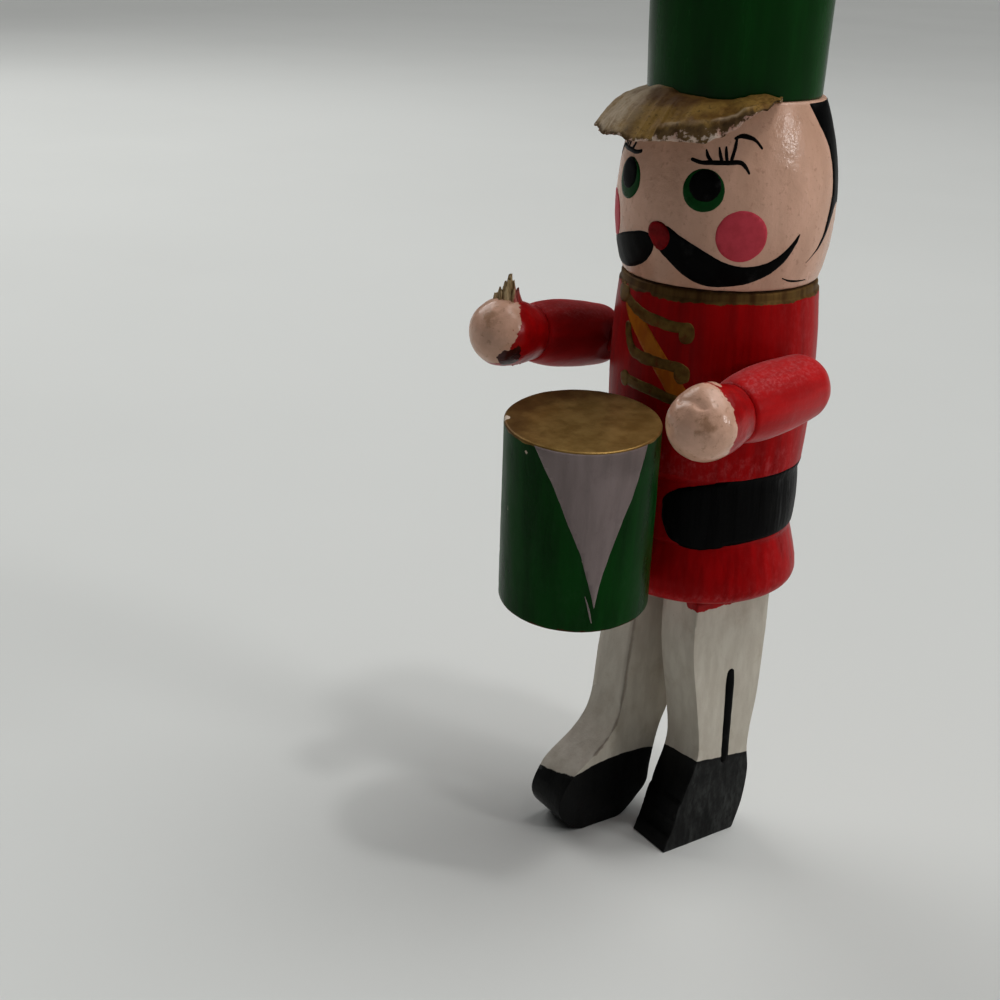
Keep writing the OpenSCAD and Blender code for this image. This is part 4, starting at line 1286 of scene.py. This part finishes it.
leftLeg = buildLeg("left_leg", "legLeft", 1, legPlan["toeStep"])
stepToe(leftLeg)
finishLeg(leftLeg, "left_leg", shoe=leftShoe, edge=notPainted, bleed=redBleed, scrape=leftScrape)
rightLeg = buildLeg("right_leg", "legRight", -1)
finishLeg(rightLeg, "right_leg", shoe=rightShoe, edge=cornerShadeLine, bleed=notPainted, scrape=rightScrape)


def buildStripe(name, leg, turn):
    plan = legPlan
    outer = plan["gap"] / 2 + plan["half"] + plan["stripeOff"]

    def wrap(side, up):
        return spindle + legSide * (outer * turn) - legAhead * (side * turn) + Vector((0, 0, up))

    line = throughPoints([Vector((a * turn, z)) for a, z in plan[name]], 6)
    widths = [(t, plan["stripeWide"] * share) for t, share in plan["stripeAlong"]]
    return paintFilm(name, strokeOutline(line, widths), wrap, leg, plan["stripeThick"], plan["stripeCell"])


stripes = [buildStripe("stripeLeft", leftLeg, 1), buildStripe("stripeRight", rightLeg, -1)]
keep(joined("legStripes", stripes), "figure", inkBlack, "white_enamel")
print("legs made")


# drum, modelled upright and leaned at the end

drumLow, drumHigh = nodeBox("drum")
drumPlan = {
    "r": 8.5, "tall": 21.6, "edge": 0.3, "leanFront": 3.9, "leanSide": 3.8, "lip": 0.28, "foot": 0.2,
    "dish": 0.05, "rings": 44, "steps": 224, "skins": [(4.0, 0.09), (1.2, 0.025)],
    "wedgeLeft": [(5.4, 21.5), (22.8, 17.15), (34.3, 13.1), (43.4, 10.0), (49.2, 7.0), (53.2, 4.9),
                  (56.4, 3.1)],
    "wedgeRight": [(94.6, 21.5), (84.0, 16.6), (74.9, 13.4), (67.4, 10.2), (60.6, 6.7), (56.9, 3.3)],
    "wedgeTurns": (0, 180), "wedgeThick": 0.06, "wedgeWobble": 0.07,
    "sliver": [(49.4, 4.6), (52.6, 2.9), (55.2, 1.3)], "sliverWide": [(0, 0.08), (0.5, 0.22), (1, 0.12)],
    "sliverThick": 0.05, "sliverWobble": 0.03, "filmCell": 0.55,
    "flecks": [(-1.8, 20.3), (47.0, 8.9), (-22, 12.4)], "fleckR": 0.2,
    "chipTurn": -46, "chipOut": 8.35, "chipDown": 0.2, "chipUp": 0.6, "chipR": 0.75, "chipBareR": 0.55,
    "chipDeep": 0.22, "flats": (2, 4, 6), "footFlat": 1.2, "topFlats": (0.3, 0.7, 1.2, 2, 3, 4, 5, 6, 7),
    "dishTo": 2, "unpainted": -5.0, "rimShadeDown": 0.4, "rimShadeFrom": (3.5, 8.3), "rimShadeSide": 0.3, "rimShadeFar": 1.3,
    "rimShadeLess": 0.45, "scuffAll": 0.2, "scuffNear": (-25, -60), "scuffNearEnd": (-120, -150),
    "scuffNearFar": 0.8, "scuffSide": (95, 120), "scuffSideFar": 0.5,
}


def drumMatrix():
    side = Matrix.Rotation(math.radians(drumPlan["leanSide"]), 4, "Y")
    front = Matrix.Rotation(math.radians(drumPlan["leanFront"]), 4, "X")
    middle = Matrix.Translation((drumLow + drumHigh) / 2)
    return middle @ (side @ front) @ Matrix.Translation((0, 0, -drumPlan["tall"] / 2))


def drumProfile():
    plan = drumPlan
    r, tall, edge = plan["r"], plan["tall"], plan["edge"]
    line = [(at, 0) for at in (0, *plan["flats"], r - plan["footFlat"])]
    line += roundOver(r - edge, edge, edge, -90, 0, 4)
    for step in range(1, plan["rings"]):
        line.append((r, edge + (tall - 2 * edge) * step / plan["rings"]))
    line += roundOver(r - edge, tall - edge, edge, 0, 90, 6)
    for inward in plan["topFlats"]:
        line.append((r - edge - inward, tall - plan["dish"] * smoothStep(0, plan["dishTo"], inward)))
    return line + [(0, tall - plan["dish"])]


def paintDrum(drum, line):
    plan = drumPlan
    r = plan["r"]
    skin = onTurned(line, r, Vector((0, 0, 0)))
    wedges = []
    for number, back in enumerate(plan["wedgeTurns"]):
        left, right, thin = (throughPoints(flatOn(r, [(a + back, z) for a, z in plan[name]]), 5)
                             for name in ("wedgeLeft", "wedgeRight", "sliver"))
        wedges.append(paintFilm(f"drumWedge{number}", left + right[::-1], skin, drum, plan["wedgeThick"],
                                plan["filmCell"], plan["wedgeWobble"]))
        sliver = strokeOutline(thin, plan["sliverWide"])
        wedges.append(paintFilm(f"drumSliver{number}", sliver, skin, drum, plan["sliverThick"],
                                plan["filmCell"], plan["sliverWobble"]))
    return joined("drumWedges", wedges)


def buildDrum():
    plan = drumPlan
    r, tall = plan["r"], plan["tall"]
    line = drumProfile()
    drum = turned("drumShell", line, plan["steps"])
    unevenSkin(drum, plan["skins"])
    chipA = math.radians(plan["chipTurn"])
    chipOut = Vector((math.sin(chipA), -math.cos(chipA), plan["chipUp"]))
    chipAt = Vector((plan["chipOut"] * math.sin(chipA), -plan["chipOut"] * math.cos(chipA),
                     tall - plan["chipDown"]))
    flecks = []
    for angle, z in plan["flecks"]:
        a = math.radians(angle)
        flecks.append(Vector((r * math.sin(a), -r * math.cos(a), z)))

    def chipped(co):
        near = (co - chipAt).length / plan["chipR"]
        return co - chipOut * (plan["chipDeep"] * (1 - near)) if near < 1 else co

    def bareAt(co):
        small = max(plan["fleckR"] - (co - fleck).length for fleck in flecks)
        return max(plan["chipBareR"] - (co - chipAt).length, small)

    def farRimShade(co):  # painted shade: darker bronze toward the drumhead's rim on the figure's right
        if co.z <= tall - plan["rimShadeDown"]:
            return plan["unpainted"]
        rim = smoothStep(*plan["rimShadeFrom"], math.hypot(co.x, co.y))
        return rim * (plan["rimShadeSide"] - co.x / r) * plan["rimShadeFar"] - plan["rimShadeLess"]

    def scuff(co):
        a = math.degrees(math.atan2(co.x, -co.y))
        near = smoothStep(*plan["scuffNear"], a) * (1 - smoothStep(*plan["scuffNearEnd"], a))
        side = smoothStep(*plan["scuffSide"], a)
        return plan["scuffAll"] + plan["scuffNearFar"] * near + plan["scuffSideFar"] * side

    storeField(drum, "chip", bareAt)
    moveVertices(drum, chipped)
    storeField(drum, "top", lambda co: co.z - (tall - plan["lip"]))
    storeField(drum, "bottom", lambda co: plan["foot"] - co.z)
    storeField(drum, "farRimShade", farRimShade)
    storeField(drum, "scuff", scuff)
    wedges = paintDrum(drum, line)
    putAt(drum, drumMatrix())
    putAt(wedges, drumMatrix())
    keep(drum, "figure", drumGreen, "green_enamel", "drum")
    keep(wedges, "figure", drumLilac, "green_enamel")


buildDrum()
print("drum made")


# dowels and pins stay as the solids are
dowelFinish = {"neck_dowel": bareWood, "left_leg_dowel": bareWood, "right_leg_dowel": bareWood,
               "drum_peg": bareWood, "left_shoulder_pin": pinRed, "right_shoulder_pin": pinRed}
for node, finish in dowelFinish.items():
    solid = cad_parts[node]
    solid.data.materials.clear()
    solid.data.materials.append(finish)

# to metres, onto the moving bodies
for piece, body, finish, slot, nodes in finished:
    putAt(piece, Matrix.Scale(1 / perMetre, 4))
    piece.data.materials.clear()
    piece.data.materials.append(finish)
    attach(piece, body)
    if nodes:
        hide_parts(*nodes)
print("pieces on their bodies:", len(finished))


# floor, light and camera

stagePlan = {
    "floor": {"colour": (0.68, 0.69, 0.67), "shade": (0.66, 0.67, 0.65), "brush": 0.004, "rough": (0.6, 0.7),
              "index": 1.0, "bump": 0.05},
    "floorSize": 30, "skyColour": (0.98, 0.99, 1, 1), "around": 0.02, "horizon": 0.12,
    "horizonFrom": (0.04, 0.3), "backdrop": 0.6, "gamma": 0.88,
    "suns": [("evenSky", (0.24, 0.40, 0.88), 1.05, 70), ("highSky", (0.23, 0.37, 0.9), 0.8, 40)],
    "lamps": [("sideSoft", (0.75, 0.24, 0.34), 0.14, 1.25), ("leftSoft", (-0.8, 0.05, 0.7), 0.7, 3.6),
              ("lampSmall", (0.3, 0.06, 0.85), 0.06, 0.9)],
    "lampAim": (0, 0.009, 0.06),
    "eye": (99.46, -138.36, 108.52), "look": (-0.64461, 0.67102, -0.36635),
    "up": (-0.27599, 0.24263, 0.93003), "lens": 54, "sensor": 36, "nearest": 0.01,
}


def buildRoom():
    plan = stagePlan
    clearSelection()
    bpy.ops.mesh.primitive_plane_add(size=plan["floorSize"])
    floor = named("paleFloor")
    floor.data.materials.append(paint("floorPale", plan["floor"]))
    world = bpy.data.worlds.new("softRoom")
    bpy.context.scene.world = world
    world.use_nodes = True
    tree = world.node_tree
    room = tree.nodes["Background"]
    room.inputs["Color"].default_value = plan["skyColour"]
    facing = addNode(tree, "ShaderNodeTexCoord")
    split = addNode(tree, "ShaderNodeSeparateXYZ")
    tree.links.new(facing.outputs["Generated"], split.inputs[0])
    glow = ramp(tree, split.outputs["Z"], plan["horizonFrom"], plan["horizon"], plan["around"])
    seen = addNode(tree, "ShaderNodeLightPath").outputs["Is Camera Ray"]
    feed(tree, mixNumber(tree, seen, glow, plan["backdrop"]), room.inputs["Strength"])


def addLights():
    for name, towards, power, angle in stagePlan["suns"]:
        clearSelection()
        bpy.ops.object.light_add(type="SUN", rotation=Vector(towards).to_track_quat("Z", "Y").to_euler())
        sun = bpy.context.active_object
        sun.name = name
        sun.data.energy = power
        sun.data.angle = math.radians(angle)
    for name, at, size, power in stagePlan["lamps"]:
        clearSelection()
        bpy.ops.object.light_add(type="AREA", location=at)
        lamp = bpy.context.active_object
        lamp.name = name
        lamp.data.shape = "DISK"
        lamp.data.size = size
        lamp.data.energy = power
        aim = Vector(stagePlan["lampAim"]) - Vector(at)
        lamp.rotation_euler = aim.to_track_quat("-Z", "Y").to_euler()


def addCamera():
    plan = stagePlan
    clearSelection()
    bpy.ops.object.camera_add(location=(Vector(plan["eye"]) + spindle) / perMetre)
    camera = bpy.context.active_object
    camera.name = "photoView"
    look = Vector(plan["look"]).normalized()
    up = Vector(plan["up"]).normalized()
    right = look.cross(up).normalized()
    camera.rotation_euler = Matrix((right, right.cross(look), -look)).transposed().to_euler()
    camera.data.lens = plan["lens"]
    camera.data.sensor_width = plan["sensor"]
    camera.data.clip_start = plan["nearest"]
    scene = bpy.context.scene
    scene.camera = camera
    scene.view_settings.view_transform = "Standard"
    scene.view_settings.gamma = plan["gamma"]


buildRoom()
addLights()
addCamera()
print("floor, light and camera set")
